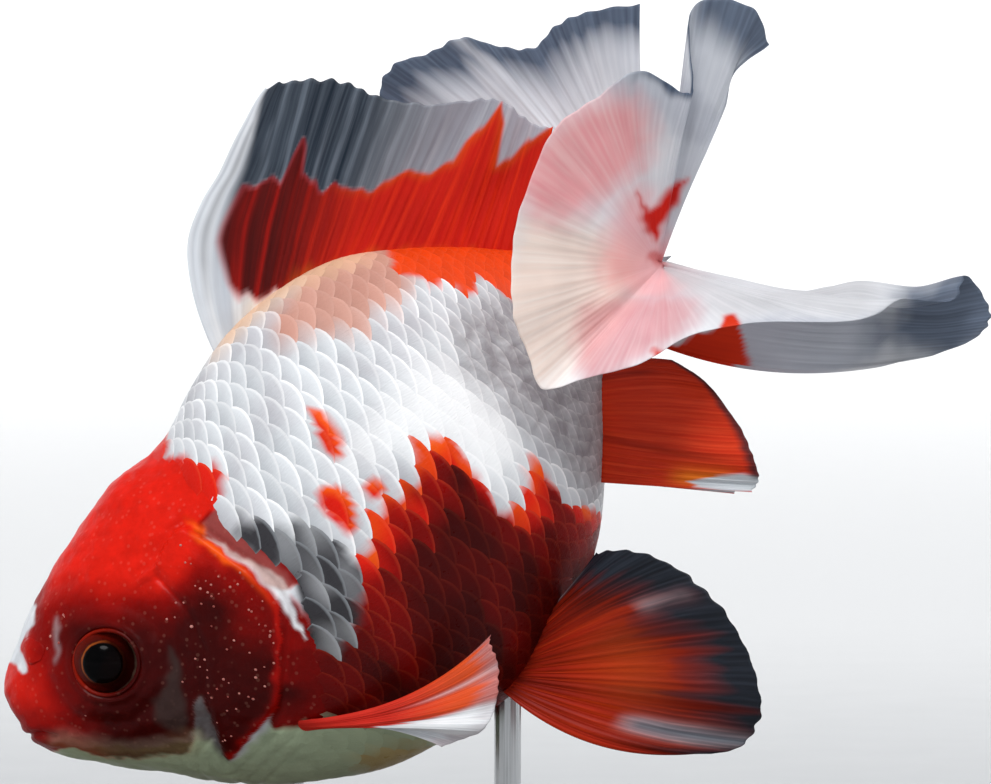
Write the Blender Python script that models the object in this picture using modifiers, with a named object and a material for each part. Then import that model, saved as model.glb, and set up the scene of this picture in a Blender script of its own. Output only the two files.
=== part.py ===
# Fancy goldfish of the ryukin type, a life-size still model on a plain display stand.
# Metres, +Z up. The fish looks along -X with its left flank towards -Y, nose down.
# Body and fins are drawn in the fish's own frame, in millimetres: s runs from the snout to
# the tail, h towards the back, y to the right flank. place() turns that into the world.

import math

import bmesh
import bpy
import numpy as np

# ---- driving dimensions -------------------------------------------------------------------
MM = 0.001
PITCH = math.radians(33.0)          # the body axis points this far down
SNOUT = (-51.0, 43.5)               # x and z of the snout
TAIL_BEND = 4.0                     # how far the tail root swings to the left flank
BEND_START = 60.0                   # the body is straight ahead of this s
TAIL_ROOT_S = 113.0
GAP = 0.3                           # clearance between touching pieces

# Stations of the body: s and h of the back, s and h of the belly, half width.
BODY = (
    (-1.0, -3.4, -0.8, -5.6, 0.4),
    (0.0, 1.0, -0.3, -10.0, 5.8),
    (3.7, 4.2, 2.0, -13.6, 8.7),
    (9.0, 8.0, 7.3, -18.7, 11.4),
    (15.5, 11.6, 14.3, -25.0, 14.2),
    (23.5, 15.2, 22.3, -31.9, 17.2),
    (32.0, 17.6, 31.3, -37.3, 19.9),
    (40.0, 18.8, 41.0, -41.3, 21.6),
    (48.0, 23.2, 50.0, -42.6, 22.6),
    (57.0, 27.1, 59.0, -42.8, 22.8),
    (67.0, 28.5, 68.0, -41.4, 21.6),
    (77.0, 27.6, 77.2, -37.2, 18.8),
    (86.0, 23.6, 87.0, -29.8, 14.8),
    (94.0, 18.7, 95.0, -19.6, 10.4),
    (101.0, 13.6, 101.5, -10.6, 7.4),
    (108.0, 10.4, 108.0, -8.4, 5.6),
    (114.0, 8.8, 113.5, -7.8, 4.4),
    (118.0, 5.6, 117.0, -5.0, 3.4),
    (119.4, 1.4, 119.2, -0.6, 0.4),
)
BODY_RINGS = 28
BODY_SIDES = 26
WIDEST_BELOW_MIDDLE = 0.12          # the flanks are fullest this share of the depth below the middle
RIDGE = 0.30                        # how narrow the hump is, 0 for an ellipse
RIDGE_FROM = 36.0                   # the hump starts here

HEAD_END = ((40.2, 22.0), (36.5, 8.0))          # the nape line, from the back to the gill cover
GILL_CENTRE = (21.0, -9.0)
GILL_RADIUS = 19.6
GILL_FRONT = (22.2, 0.24, 0.008)    # front edge: s at the middle, its slope and its bow
GILL_FRONT_LOW = -30.0              # lowest point of the front edge, with steps up from it
GILL_FRONT_STEP = 7.0
GILL_THICKNESS = 2.2
THROAT_STRIP = 0.5                  # the covers end this far from the middle plane
STALK_START = 99.0                  # cut between trunk and tail stalk
BLOCK_REACH = 60.0                  # cutting blocks reach this far past the body

EYE_CENTRE = (16.8, -4.4, 9.9)
EYE_RADIUS = 5.8
MOUTH_CENTRE = (-0.6, -8.2)
MOUTH_SIZE = (3.6, 0.35, 3.4)       # half length, half gap and half width of the mouth slit
NOSTRIL_FLAP = (5.6, 2.6, 6.9)
NOSTRIL_SIZE = (2.1, 1.5, 1.1)

FIN_THICKNESS = 0.6
# Share of the sideways reach that a ray has at mid length, and quads across and along the rays.
FIN_GRIDS = {
    "dorsal_fin": (0.5, 15, 6),
    "pectoral_fin": (0.55, 9, 6),
    "pelvic_fin": (0.6, 11, 5),
    "anal_fin": (0.55, 10, 5),
    "tail_fin": (0.62, 40, 6),
}

# Fins are sheets between rays. A row is one key ray: its root and its tip (s, h, y), and its
# bow, the sideways curve of the ray in the s-h plane at mid length.
DORSAL = (
    ((54.0, 24.5, 0.0), (82.0, 54.4, 0.0), 7.0),
    ((60.5, 26.0, 0.0), (87.0, 52.6, 0.0), 1.2),
    ((67.0, 26.4, 0.0), (92.5, 48.6, 0.0), 0.6),
    ((73.0, 26.0, 0.0), (95.5, 43.9, 0.0), 0.0),
    ((79.0, 24.4, 0.0), (101.0, 39.2, 0.0), 0.0),
    ((85.5, 21.6, 0.0), (107.7, 35.6, 0.0), 0.0),
    ((91.0, 17.8, 0.0), (110.9, 33.1, 0.0), 0.0),
    ((95.5, 14.2, 0.0), (112.5, 28.4, 0.0), 0.0),
    ((99.5, 10.4, 0.0), (114.8, 26.0, 0.0), 0.0),
)
PECTORAL = (
    ((33.2, -24.4, 15.5), (66.7, -30.9, 27.0), -1.2),
    ((33.0, -25.4, 15.5), (65.5, -34.4, 28.0), -0.6),
    ((32.8, -26.4, 15.0), (62.7, -38.9, 28.0), 0.0),
    ((32.6, -27.4, 14.6), (58.5, -41.9, 27.0), 0.6),
    ((32.4, -28.4, 14.0), (51.7, -41.0, 24.0), 1.0),
)
PELVIC = (
    ((69.5, -35.6, 6.0), (85.7, -30.3, 11.0), -0.3),
    ((68.4, -36.6, 6.6), (91.9, -33.8, 16.0), 0.8),
    ((67.3, -37.6, 7.0), (96.2, -41.7, 20.0), 1.2),
    ((66.2, -38.6, 7.0), (97.2, -51.8, 22.0), 0.6),
    ((65.1, -39.4, 7.0), (94.4, -61.4, 22.0), 0.0),
    ((64.0, -40.0, 7.0), (88.3, -65.2, 20.0), -1.4),
    ((62.8, -40.4, 7.0), (81.1, -62.2, 17.0), -3.0),
)
ANAL = (
    ((89.6, -20.6, 2.2), (110.1, -34.9, 12.0), 0.0),
    ((92.0, -18.0, 2.2), (112.2, -33.5, 13.0), -0.4),
    ((94.4, -14.8, 2.2), (113.6, -29.1, 13.0), -0.4),
    ((96.2, -11.6, 2.2), (113.9, -22.8, 12.0), 0.6),
    ((97.4, -8.2, 2.2), (113.1, -17.0, 10.0), 1.2),
    ((98.0, -5.8, 2.2), (110.9, -12.3, 8.0), 0.8),
)
TAIL_RING_CENTRE = (117.0, 0.4)      # the rays of one half start on an oval round the stalk's end
TAIL_RING_RADII = (2.6, 4.0)
TAIL_RING_SIDE = (2.6, 4.0)          # y of the oval at its rear and its front
TAIL_RING_ANGLES = (30.0, 325.0)     # upper leading ray and folded ray
TAIL_RAYS_PAST_FOLD = 4              # the sheet turns back on itself at this ray from its end
TAIL_LOWER_ROOT = (108.6, -7.4, 0.6)  # root of the lower leading ray
# Tips of one half of the double tail, from the upper lobe round to the lower one.
UPPER_LOBE_LEFT = (
    ((148.1, 19.1, 8.0), 0.9),
    ((148.9, 25.1, 9.0), 0.4),
    ((142.4, 29.9, 11.0), 0.0),
    ((135.8, 21.0, 12.0), 0.0),
    ((133.8, 20.1, 13.0), 0.8),
    ((130.0, 26.4, 17.0), 0.8),
    ((123.1, 26.5, 21.0), 0.0),
    ((114.6, 26.0, 25.0), 0.0),
)
UPPER_LOBE_RIGHT = (
    ((135.9, 34.3, 13.0), 1.0),
    ((129.0, 37.4, 15.0), 0.6),
    ((123.8, 38.5, 16.0), 0.3),
    ((119.1, 37.4, 17.0), 0.0),
    ((114.8, 40.4, 18.0), 0.0),
    ((110.7, 44.8, 18.5), 0.0),
    ((105.4, 45.5, 19.0), 0.0),
    ((99.9, 46.8, 20.0), 0.0),
    ((95.6, 44.4, 20.8), 0.0),
    ((94.0, 35.1, 22.0), 0.0),
    ((97.0, 25.5, 24.0), 0.0),
)
COLLAR = (
    ((105.6, 19.9, 27.0), 0.0),
    ((99.8, 13.9, 28.0), 0.0),
    ((95.1, 7.2, 28.0), 0.0),
    ((94.1, 0.9, 27.0), 0.0),
    ((92.8, -4.7, 25.5), 0.0),
    ((99.3, -7.1, 24.0), 0.0),
    ((106.7, -9.6, 22.0), 0.0),
    ((115.1, -10.1, 20.5), 0.0),
)
LOWER_LOBE = (
    ((122.6, -12.9, 19.0), 0.0),
    ((130.1, -17.4, 18.0), 0.0),
    ((138.4, -22.1, 17.0), -0.6),
    ((144.5, -22.6, 16.0), -1.2),
    ((150.5, -26.3, 15.0), -1.4),
    ((153.6, -25.1, 12.6), -1.2),
    ((154.4, -30.1, 9.6), -1.4),
    ((152.8, -32.8, 8.6), -2.0),
    ((148.3, -33.5, 8.2), -2.4),
    ((139.7, -30.9, 8.2), -2.8),
)
RIGHT_REACH = 0.93                  # the fins of the right side are held a little tighter
RIGHT_DROP = (-1.0, -1.6)           # and hang this much lower at their tips, in s and h

BASE_SIZE = (112.0, 78.0, 8.0)
BASE_CORNER = 9.0
BASE_EDGE = 1.2
ROD_RADIUS = 2.0
ROD_FOOT = (5.5, 1.6)               # radius and height of the foot ring
ROD_EDGE = 0.4                      # bevel of the foot ring
ROD_FILLET = 0.6                    # where the rod meets its foot
RODS = {"stand_rod_front": (-8.3, 12.0), "stand_rod_rear": (24.4, 14.0)}   # x, reach above the belly
ROD_SIDES = 14


# ---- helpers ------------------------------------------------------------------------------
def clear_scene():
    for obj in list(bpy.data.objects):
        bpy.data.objects.remove(obj)


def collection(name):
    made = bpy.data.collections.new(name)
    bpy.context.scene.collection.children.link(made)
    return made


def paint(name, colour, roughness, metallic=0.0):
    material = bpy.data.materials.new(name)
    material.use_nodes = True
    shader = material.node_tree.nodes["Principled BSDF"]
    shader.inputs["Base Color"].default_value = (*colour, 1.0)
    shader.inputs["Roughness"].default_value = roughness
    shader.inputs["Metallic"].default_value = metallic
    return material


def spline(rows, u):
    # Catmull-Rom through the rows, at the parameters u from 0 to len(rows) - 1.
    rows = np.asarray(rows, float)
    u = np.clip(np.asarray(u, float), 0.0, len(rows) - 1.0)
    i = np.minimum(u.astype(int), len(rows) - 2)
    f = (u - i)[:, None]
    a, b, c, d = (rows[np.clip(i + k, 0, len(rows) - 1)] for k in (-1, 0, 1, 2))
    return b + 0.5 * f * (c - a + f * (2 * a - 5 * b + 4 * c - d + f * (3 * (b - c) + d - a)))


def swing(s):
    # Sideways shift of the body's middle plane: none ahead of BEND_START, straight past the root.
    length = TAIL_ROOT_S - BEND_START
    t = np.clip((s - BEND_START) / length, 0.0, 1.0)
    past = np.maximum(s - TAIL_ROOT_S, 0.0)
    return -TAIL_BEND * (t * t + 2.0 * past / length)


def place(points):
    # Fish frame in millimetres to the world in metres.
    s, h, y = np.asarray(points, float).T
    x = SNOUT[0] + s * math.cos(PITCH) - h * math.sin(PITCH)
    z = SNOUT[1] + s * math.sin(PITCH) + h * math.cos(PITCH)
    return np.stack([x, y + swing(s), z], 1) * MM


def face_outward(bm):
    # place() mirrors the fish frame, so a closed form may come out of it inside out.
    if bm.calc_volume(signed=True) < 0:
        bmesh.ops.reverse_faces(bm, faces=bm.faces)


def add_object(name, bm, home, material):
    mesh = bpy.data.meshes.new(name)
    bm.to_mesh(mesh)
    bm.free()
    obj = bpy.data.objects.new(name, mesh)
    home.objects.link(obj)
    if material:
        mesh.materials.append(material)
    mesh.shade_smooth()
    return obj


def cutter(obj):
    obj.hide_render = True
    obj.display_type = "WIRE"
    return obj


def boolean(obj, operation, tool):
    modifier = obj.modifiers.new(f"{operation.lower()} {tool.name}", "BOOLEAN")
    modifier.operation = operation
    modifier.object = tool
    modifier.solver = "EXACT"


# ---- body ---------------------------------------------------------------------------------
def body_points(u, angle, inset):
    # u runs over the stations, angle from the back (0) round the right flank to the belly (pi).
    back_s, back_h, belly_s, belly_h, half = spline(BODY, u).T
    middle_s, middle_h = (back_s + belly_s) / 2, (back_h + belly_h) / 2
    reach_s, reach_h = (back_s - belly_s) / 2, (back_h - belly_h) / 2
    length = np.maximum(np.hypot(reach_s, reach_h), 1e-6)
    shrink = np.maximum(length - inset, 0.05) / length
    rise = np.cos(angle) - WIDEST_BELOW_MIDDLE * np.sin(angle) ** 2
    hump = RIDGE * np.clip((middle_s - RIDGE_FROM) / 20.0, 0.0, 1.0)
    side = np.sin(angle)
    power = 1.0 + hump * np.clip(np.cos(angle), 0.0, 1.0)
    wide = np.sign(side) * np.abs(side) ** power * np.maximum(half - inset, 0.05)
    return np.stack([middle_s + reach_s * shrink * rise, middle_h + reach_h * shrink * rise, wide], 1)


def body_form(name, inset, home, material=None):
    bm = bmesh.new()
    bmesh.ops.create_uvsphere(bm, u_segments=BODY_SIDES, v_segments=BODY_RINGS, radius=1.0)
    unit = np.array([v.co[:] for v in bm.verts])
    u = np.arccos(np.clip(unit[:, 2], -1.0, 1.0)) / math.pi * (len(BODY) - 1)
    angle = np.arctan2(-unit[:, 1], unit[:, 0])
    points = body_points(u, angle, inset)
    points[:, 0] += inset * np.clip(1.0 - u, 0.0, 1.0) - inset * np.clip(u - len(BODY) + 2, 0.0, 1.0)
    for vert, co in zip(bm.verts, place(points)):
        vert.co = co
    face_outward(bm)
    return add_object(name, bm, home, material)


def prism(name, outline, y_low, y_high, home):
    # An outline in the s-h plane, extruded from y_low to y_high across the fish.
    curve = bpy.data.curves.new(name, "CURVE")
    curve.dimensions = "2D"
    curve.fill_mode = "BOTH"
    curve.extrude = (y_high - y_low) / 2 * MM
    line = curve.splines.new("POLY")
    line.use_cyclic_u = True
    line.points.add(len(outline) - 1)
    for point, (s, h) in zip(line.points, outline):
        point.co = (s * MM, h * MM, 0.0, 1.0)
    source = bpy.data.objects.new(name, curve)
    home.objects.link(source)
    graph = bpy.context.evaluated_depsgraph_get()
    mesh = bpy.data.meshes.new_from_object(source.evaluated_get(graph))
    bpy.data.objects.remove(source)
    bm = bmesh.new()
    bm.from_mesh(mesh)
    bpy.data.meshes.remove(mesh)
    bmesh.ops.remove_doubles(bm, verts=bm.verts, dist=1e-6)
    flat = np.array([v.co[:] for v in bm.verts]) / MM
    across = flat[:, 2] + (y_high + y_low) / 2
    straight = place(np.stack([flat[:, 0], flat[:, 1], np.zeros(len(flat))], 1))
    for vert, co, y in zip(bm.verts, straight, across):
        vert.co = (co[0], y * MM, co[2])
    face_outward(bm)
    return cutter(add_object(name, bm, home, None))


def gill_arc(radius, start, end, steps):
    # Points of the gill cover's rear edge, angles from the tail-ward direction.
    angles = [math.radians(start + (end - start) * i / steps) for i in range(steps + 1)]
    return [(GILL_CENTRE[0] + radius * math.cos(a), GILL_CENTRE[1] + radius * math.sin(a)) for a in angles]


def head_outline(grow):
    # Everything in front of the nape line and the gill cover's rear edge.
    arc = gill_arc(GILL_RADIUS + grow, 40, -88, 14)
    nape = [(s + grow, h) for s, h in HEAD_END]
    ahead = -BLOCK_REACH
    return [(ahead, BLOCK_REACH), (nape[0][0], BLOCK_REACH), *nape, *arc,
            (arc[-1][0], -BLOCK_REACH), (ahead, -BLOCK_REACH)]


def gill_outline(grow):
    # The gill cover: the rear arc and a front edge that bows forward round the cheek.
    arc = gill_arc(GILL_RADIUS + 1.0, 52, -78, 12)
    middle, slope, bow = GILL_FRONT
    level = [GILL_FRONT_LOW + GILL_FRONT_STEP * i - GILL_CENTRE[1] for i in range(6)]
    front = [(middle + slope * v + bow * v * v, v + GILL_CENTRE[1]) for v in level]
    outline = np.array([*arc, *front])
    outward = outline - outline.mean(0)
    return outline + grow * outward / np.linalg.norm(outward, axis=1, keepdims=True)


def cut_body(home, tools, skin):
    whole = {}
    for name in ("head", "trunk", "tail_stalk", "gill_cover_left", "gill_cover_right"):
        whole[name] = body_form(name, 0.0, home, skin)
    reach = BLOCK_REACH
    front = prism("head_block", head_outline(0.0), -reach, reach, tools)
    front_wide = prism("head_block_wide", head_outline(GAP), -reach, reach, tools)
    rear, rear_wide = (
        prism(name, [(s, reach), (s, -reach), (s + reach, -reach), (s + reach, reach)],
              -reach, reach, tools)
        for name, s in (("stalk_block", STALK_START), ("stalk_block_wide", STALK_START - GAP)))
    boolean(whole["head"], "INTERSECT", front)
    boolean(whole["trunk"], "DIFFERENCE", front_wide)
    boolean(whole["trunk"], "DIFFERENCE", rear_wide)
    boolean(whole["tail_stalk"], "INTERSECT", rear)
    under = cutter(body_form("under_gill", GILL_THICKNESS, tools))
    under_wide = cutter(body_form("under_gill_wide", GILL_THICKNESS + GAP, tools))
    for side, low, high in (("left", -reach, -THROAT_STRIP), ("right", THROAT_STRIP, reach)):
        cover = whole[f"gill_cover_{side}"]
        boolean(cover, "INTERSECT", front)
        boolean(cover, "INTERSECT", prism(f"gill_{side}", gill_outline(0.0), low, high, tools))
        boolean(cover, "DIFFERENCE", under)
        pocket = prism(f"gill_pocket_{side}", gill_outline(1.5 * GAP), low - GAP, high + GAP, tools)
        boolean(pocket, "DIFFERENCE", under_wide)
        boolean(whole["head"], "DIFFERENCE", pocket)
    return whole


def ellipsoid(name, centre, radii, home, material=None, segments=14, rings=10):
    # An ellipsoid whose axes are the fish's own s, h and y.
    bm = bmesh.new()
    bmesh.ops.create_uvsphere(bm, u_segments=segments, v_segments=rings, radius=1.0)
    unit = np.array([v.co[:] for v in bm.verts])
    local = np.stack([unit[:, 0] * radii[0], unit[:, 1] * radii[1], unit[:, 2] * radii[2]], 1)
    for vert, co in zip(bm.verts, place(local + np.array(centre))):
        vert.co = co
    face_outward(bm)
    return add_object(name, bm, home, material)


def make_head_details(head, home, tools, skin, eye):
    mouth = cutter(ellipsoid("mouth_slit", (*MOUTH_CENTRE, 0.0), MOUTH_SIZE, tools))
    boolean(head, "DIFFERENCE", mouth)
    around = cutter(body_form("around_head", -GAP, tools))
    for side, sign in (("left", -1), ("right", 1)):
        s, h, y = EYE_CENTRE
        ellipsoid(f"eye_{side}", (s, h, sign * y), (EYE_RADIUS,) * 3, home, eye)
        socket_radius = EYE_RADIUS + GAP
        socket = cutter(ellipsoid(f"eye_socket_{side}", (s, h, sign * y), (socket_radius,) * 3, tools))
        boolean(head, "DIFFERENCE", socket)
        s, h, y = NOSTRIL_FLAP
        flap = ellipsoid(f"nostril_flap_{side}", (s, h, sign * y), NOSTRIL_SIZE, home, skin, 10, 6)
        boolean(flap, "DIFFERENCE", around)


# ---- fins ---------------------------------------------------------------------------------
def ray_sheet(name, roots, tips, bows, shape, home, material):
    # A grid whose columns are rays: each runs from its root over a bowed middle to its tip.
    flare, across, along = shape
    roots, tips, bows = np.array(roots), np.array(tips), np.array(bows)[:, None]
    chord = tips - roots
    normal = np.stack([-chord[:, 1], chord[:, 0], np.zeros(len(chord))], 1)
    normal /= np.maximum(np.linalg.norm(normal, axis=1, keepdims=True), 1e-6)
    middle = (roots + tips) / 2 + normal * bows
    middle[:, 2] = roots[:, 2] + flare * chord[:, 2]
    bm = bmesh.new()
    bmesh.ops.create_grid(bm, x_segments=across, y_segments=along, size=0.5)
    grid = np.array([v.co[:] for v in bm.verts])
    u = (grid[:, 0] + 0.5) * (len(roots) - 1)
    v = (grid[:, 1] + 0.5)[:, None]
    a, b, c = spline(roots, u), spline(middle, u), spline(tips, u)
    points = a * (2 * v - 1) * (v - 1) + b * 4 * v * (1 - v) + c * v * (2 * v - 1)
    for vert, co in zip(bm.verts, place(points)):
        vert.co = co
    fin = add_object(name, bm, home, material)
    wall = fin.modifiers.new("thickness", "SOLIDIFY")
    wall.thickness = FIN_THICKNESS * MM
    wall.offset = 0.0
    return fin


def fin_tips(rows, sign):
    # Tips of a paired fin; those of the right side are drawn in and lowered.
    roots = np.array([row[0] for row in rows])
    tips = np.array([row[1] for row in rows])
    if sign > 0:
        tips = roots + (tips - roots) * RIGHT_REACH + [*RIGHT_DROP, 0.0]
    return tips


def make_single_and_paired_fins(home, material, body_block):
    fins = [ray_sheet("dorsal_fin", *zip(*DORSAL), FIN_GRIDS["dorsal_fin"], home, material)]
    for name, rows in (("pectoral_fin", PECTORAL), ("pelvic_fin", PELVIC), ("anal_fin", ANAL)):
        for side, sign in (("left", -1), ("right", 1)):
            roots = [(s, h, sign * y) for (s, h, y), tip, bow in rows]
            tips = [(s, h, sign * y) for s, h, y in fin_tips(rows, sign)]
            bows = [bow for root, tip, bow in rows]
            fins.append(ray_sheet(f"{name}_{side}", roots, tips, bows, FIN_GRIDS[name], home, material))
    for fin in fins:
        boolean(fin, "DIFFERENCE", body_block)


def tail_ring(count):
    # Roots of the tail rays, evenly round the oval.
    row = np.arange(count)
    fold = count - 1 - TAIL_RAYS_PAST_FOLD
    angle = np.radians(np.interp(row, (0, fold), TAIL_RING_ANGLES))
    rear, front = TAIL_RING_SIDE
    side = rear + (front - rear) * np.sin(angle / 2) ** 2
    ring = np.stack([TAIL_RING_CENTRE[0] + TAIL_RING_RADII[0] * np.cos(angle),
                     TAIL_RING_CENTRE[1] + TAIL_RING_RADII[1] * np.sin(angle), side], 1)
    past = np.clip((row - fold) / TAIL_RAYS_PAST_FOLD, 0.0, 1.0)[:, None]
    lower = np.array(TAIL_LOWER_ROOT)
    back = ring[fold] * [1, 1, 0] + [0, 0, lower[2]]
    return np.where(past > 0, back + (lower - back) * past, ring)


def make_tail(home, material, body_block):
    for side, sign, upper in (("left", -1, UPPER_LOBE_LEFT), ("right", 1, UPPER_LOBE_RIGHT)):
        rows = [*upper, *COLLAR, *LOWER_LOBE]
        roots = tail_ring(len(rows))
        tips = np.array([tip for tip, bow in rows])
        if sign > 0:
            shared = slice(len(upper), None)
            drawn_in = roots + (tips - roots) * RIGHT_REACH + [*RIGHT_DROP, 0.0]
            tips[shared] = drawn_in[shared]
        roots[:, 2] *= sign
        tips[:, 2] *= sign
        bows = [bow for tip, bow in rows]
        half = ray_sheet(f"tail_fin_{side}", roots, tips, bows, FIN_GRIDS["tail_fin"], home, material)
        boolean(half, "DIFFERENCE", body_block)


# ---- stand --------------------------------------------------------------------------------
def belly_height(x):
    # World height of the belly above a point of the stand, in millimetres.
    u = np.linspace(0, len(BODY) - 1, 400)
    points = place(body_points(u, np.full(len(u), math.pi), 0.0)) / MM
    return float(np.interp(x, points[:, 0], points[:, 2]))


def make_rod(name, x, height, home, material):
    # A turned rod with a low foot ring and a rounded top.
    foot_radius, foot_height = ROD_FOOT
    top = [(ROD_RADIUS * math.sin(a), height - ROD_RADIUS + ROD_RADIUS * math.cos(a))
           for a in (0.0, math.pi / 6, math.pi / 3, math.pi / 2)]
    side = [(ROD_RADIUS, foot_height + ROD_FILLET), (ROD_RADIUS + ROD_FILLET, foot_height)]
    foot = [(foot_radius - ROD_EDGE, foot_height), (foot_radius, foot_height - ROD_EDGE),
            (foot_radius, 0.0), (0.0, 0.0)]
    bm = bmesh.new()
    verts = [bm.verts.new((r * MM, 0.0, z * MM)) for r, z in [*top, *side, *foot]]
    for a, b in zip(verts, verts[1:]):
        bm.edges.new((a, b))
    rod = add_object(name, bm, home, material)
    turn = rod.modifiers.new("turn", "SCREW")
    turn.steps = ROD_SIDES
    turn.render_steps = ROD_SIDES
    turn.use_merge_vertices = True
    turn.merge_threshold = 1e-6
    rod.location = (x * MM, 0.0, (BASE_SIZE[2] + GAP) * MM)
    return rod


def make_stand(home, tools, trunk, wood, steel):
    bm = bmesh.new()
    bmesh.ops.create_cube(bm, size=1.0)
    for vert in bm.verts:
        vert.co = [c * d * MM for c, d in zip(vert.co, BASE_SIZE)]
    upright = [e for e in bm.edges if abs(e.verts[0].co.z - e.verts[1].co.z) > 1e-6]
    bmesh.ops.bevel(bm, geom=upright, offset=BASE_CORNER * MM, segments=4, affect="EDGES", profile=0.5)
    base = add_object("stand_base", bm, home, wood)
    base.location = (0.0, 0.0, BASE_SIZE[2] / 2 * MM)
    edge = base.modifiers.new("edge", "BEVEL")
    edge.width = BASE_EDGE * MM
    edge.segments = 1
    edge.limit_method = "ANGLE"
    edge.angle_limit = math.radians(50)
    for name, (x, reach) in RODS.items():
        top = belly_height(x) + reach
        foot = BASE_SIZE[2] + GAP
        make_rod(name, x, top - foot, home, steel)
        bm = bmesh.new()
        bmesh.ops.create_cone(bm, cap_ends=True, segments=ROD_SIDES, radius1=(ROD_RADIUS + GAP) * MM,
                              radius2=(ROD_RADIUS + GAP) * MM, depth=(top - foot + GAP) * MM)
        socket = cutter(add_object(f"{name}_socket", bm, tools, None))
        socket.location = (x * MM, 0.0, (foot + (top - foot + GAP) / 2) * MM)
        boolean(trunk, "DIFFERENCE", socket)


def main():
    clear_scene()
    parts = collection("fancy_goldfish")
    tools = collection("cutters")
    skin = paint("scaled skin", (0.72, 0.13, 0.07), 0.35)
    fin = paint("fin membrane", (0.80, 0.62, 0.58), 0.45)
    eye = paint("eye", (0.02, 0.01, 0.01), 0.08)
    wood = paint("dark wood", (0.10, 0.05, 0.03), 0.5)
    steel = paint("brushed steel", (0.55, 0.55, 0.56), 0.3, 1.0)
    body = cut_body(parts, tools, skin)
    make_head_details(body["head"], parts, tools, skin, eye)
    body_block = cutter(body_form("body_block", -GAP, tools))
    make_single_and_paired_fins(parts, fin, body_block)
    make_tail(parts, fin, body_block)
    make_stand(parts, tools, body["trunk"], wood, steel)


main()
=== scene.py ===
# Fancy goldfish on a plain display stand: the looks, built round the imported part.
# The fish is drawn in its own frame, in millimetres: s runs from the snout to the tail, h towards
# the back and y to the right flank. place() turns that into metres in the part's frame.

import math

import bpy
import numpy as np
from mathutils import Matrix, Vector


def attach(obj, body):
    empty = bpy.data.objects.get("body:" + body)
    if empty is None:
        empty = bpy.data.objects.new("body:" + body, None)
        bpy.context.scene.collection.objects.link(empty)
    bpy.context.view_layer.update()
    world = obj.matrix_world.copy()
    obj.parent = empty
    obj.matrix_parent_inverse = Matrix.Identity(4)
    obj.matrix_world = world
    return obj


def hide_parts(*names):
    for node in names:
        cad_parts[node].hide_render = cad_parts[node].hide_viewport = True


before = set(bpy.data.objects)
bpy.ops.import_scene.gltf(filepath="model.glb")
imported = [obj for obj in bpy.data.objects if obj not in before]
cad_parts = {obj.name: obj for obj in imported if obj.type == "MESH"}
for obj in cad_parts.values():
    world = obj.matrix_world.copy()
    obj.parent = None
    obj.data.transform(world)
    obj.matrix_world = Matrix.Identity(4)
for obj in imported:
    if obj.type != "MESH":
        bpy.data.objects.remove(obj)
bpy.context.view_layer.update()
print("frame loaded,", len(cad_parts), "nodes")

mm = 0.001


# small helpers

def toLinear(code):
    # sRGB hex to a linear colour with alpha 1
    shares = [int(code[i:i + 2], 16) / 255 for i in (1, 3, 5)]
    return (*[c / 12.92 if c <= 0.04045 else ((c + 0.055) / 1.055) ** 2.4 for c in shares], 1.0)


def feed(tree, socket, value):
    # Gives an input a plain value or a link, from a socket or from a node's first output in use
    if isinstance(value, bpy.types.Node):
        value = next(output for output in value.outputs if output.enabled)
    if isinstance(value, bpy.types.NodeSocket):
        tree.links.new(value, socket)
    else:
        socket.default_value = value


def addNode(tree, kind, inputs=(), stops=None, **settings):
    # One node with its settings and links. A shader node's kind goes without its prefix, and maths has
    # its operation after it. Inputs are a dictionary, or a row of values for the inputs in use.
    kind, _, operation = kind.partition(" ")
    node = tree.nodes.new(kind if "Node" in kind else "ShaderNode" + kind)
    if operation:
        node.operation = operation
    for name, value in settings.items():
        setattr(node, name, value)
    if not isinstance(inputs, dict):
        inUse = [number for number, socket in enumerate(node.inputs) if socket.enabled]
        inputs = dict(zip(inUse, inputs))
    for name, value in inputs.items():
        feed(tree, node.inputs[name], value)
    if stops:
        ramp = node.color_ramp
        while len(ramp.elements) < len(stops):
            ramp.elements.new(0.5)
        for element, (place, code) in zip(ramp.elements, stops):
            element.position = place
            element.color = toLinear(code)
    return node


def newMaterial(name):
    # A fresh material, its tree and the place on the object in metres
    material = bpy.data.materials.new(name)
    material.use_nodes = True
    tree = material.node_tree
    return material, tree, addNode(tree, "TexCoord").outputs["Object"]


def finishMaterial(material, colour, rough, grain=None, fixed=None):
    # Feeds the shader what varies, with grain as height, reach in metres and strength; the rest stays fixed
    tree = material.node_tree
    given = {"Base Color": colour, "Roughness": rough, **(fixed or {})}
    if grain:
        given["Normal"] = addNode(tree, "Bump", dict(zip(("Height", "Distance", "Strength"), grain)))
    for name, value in given.items():
        feed(tree, tree.nodes["Principled BSDF"].inputs[name], value)
    return material


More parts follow.
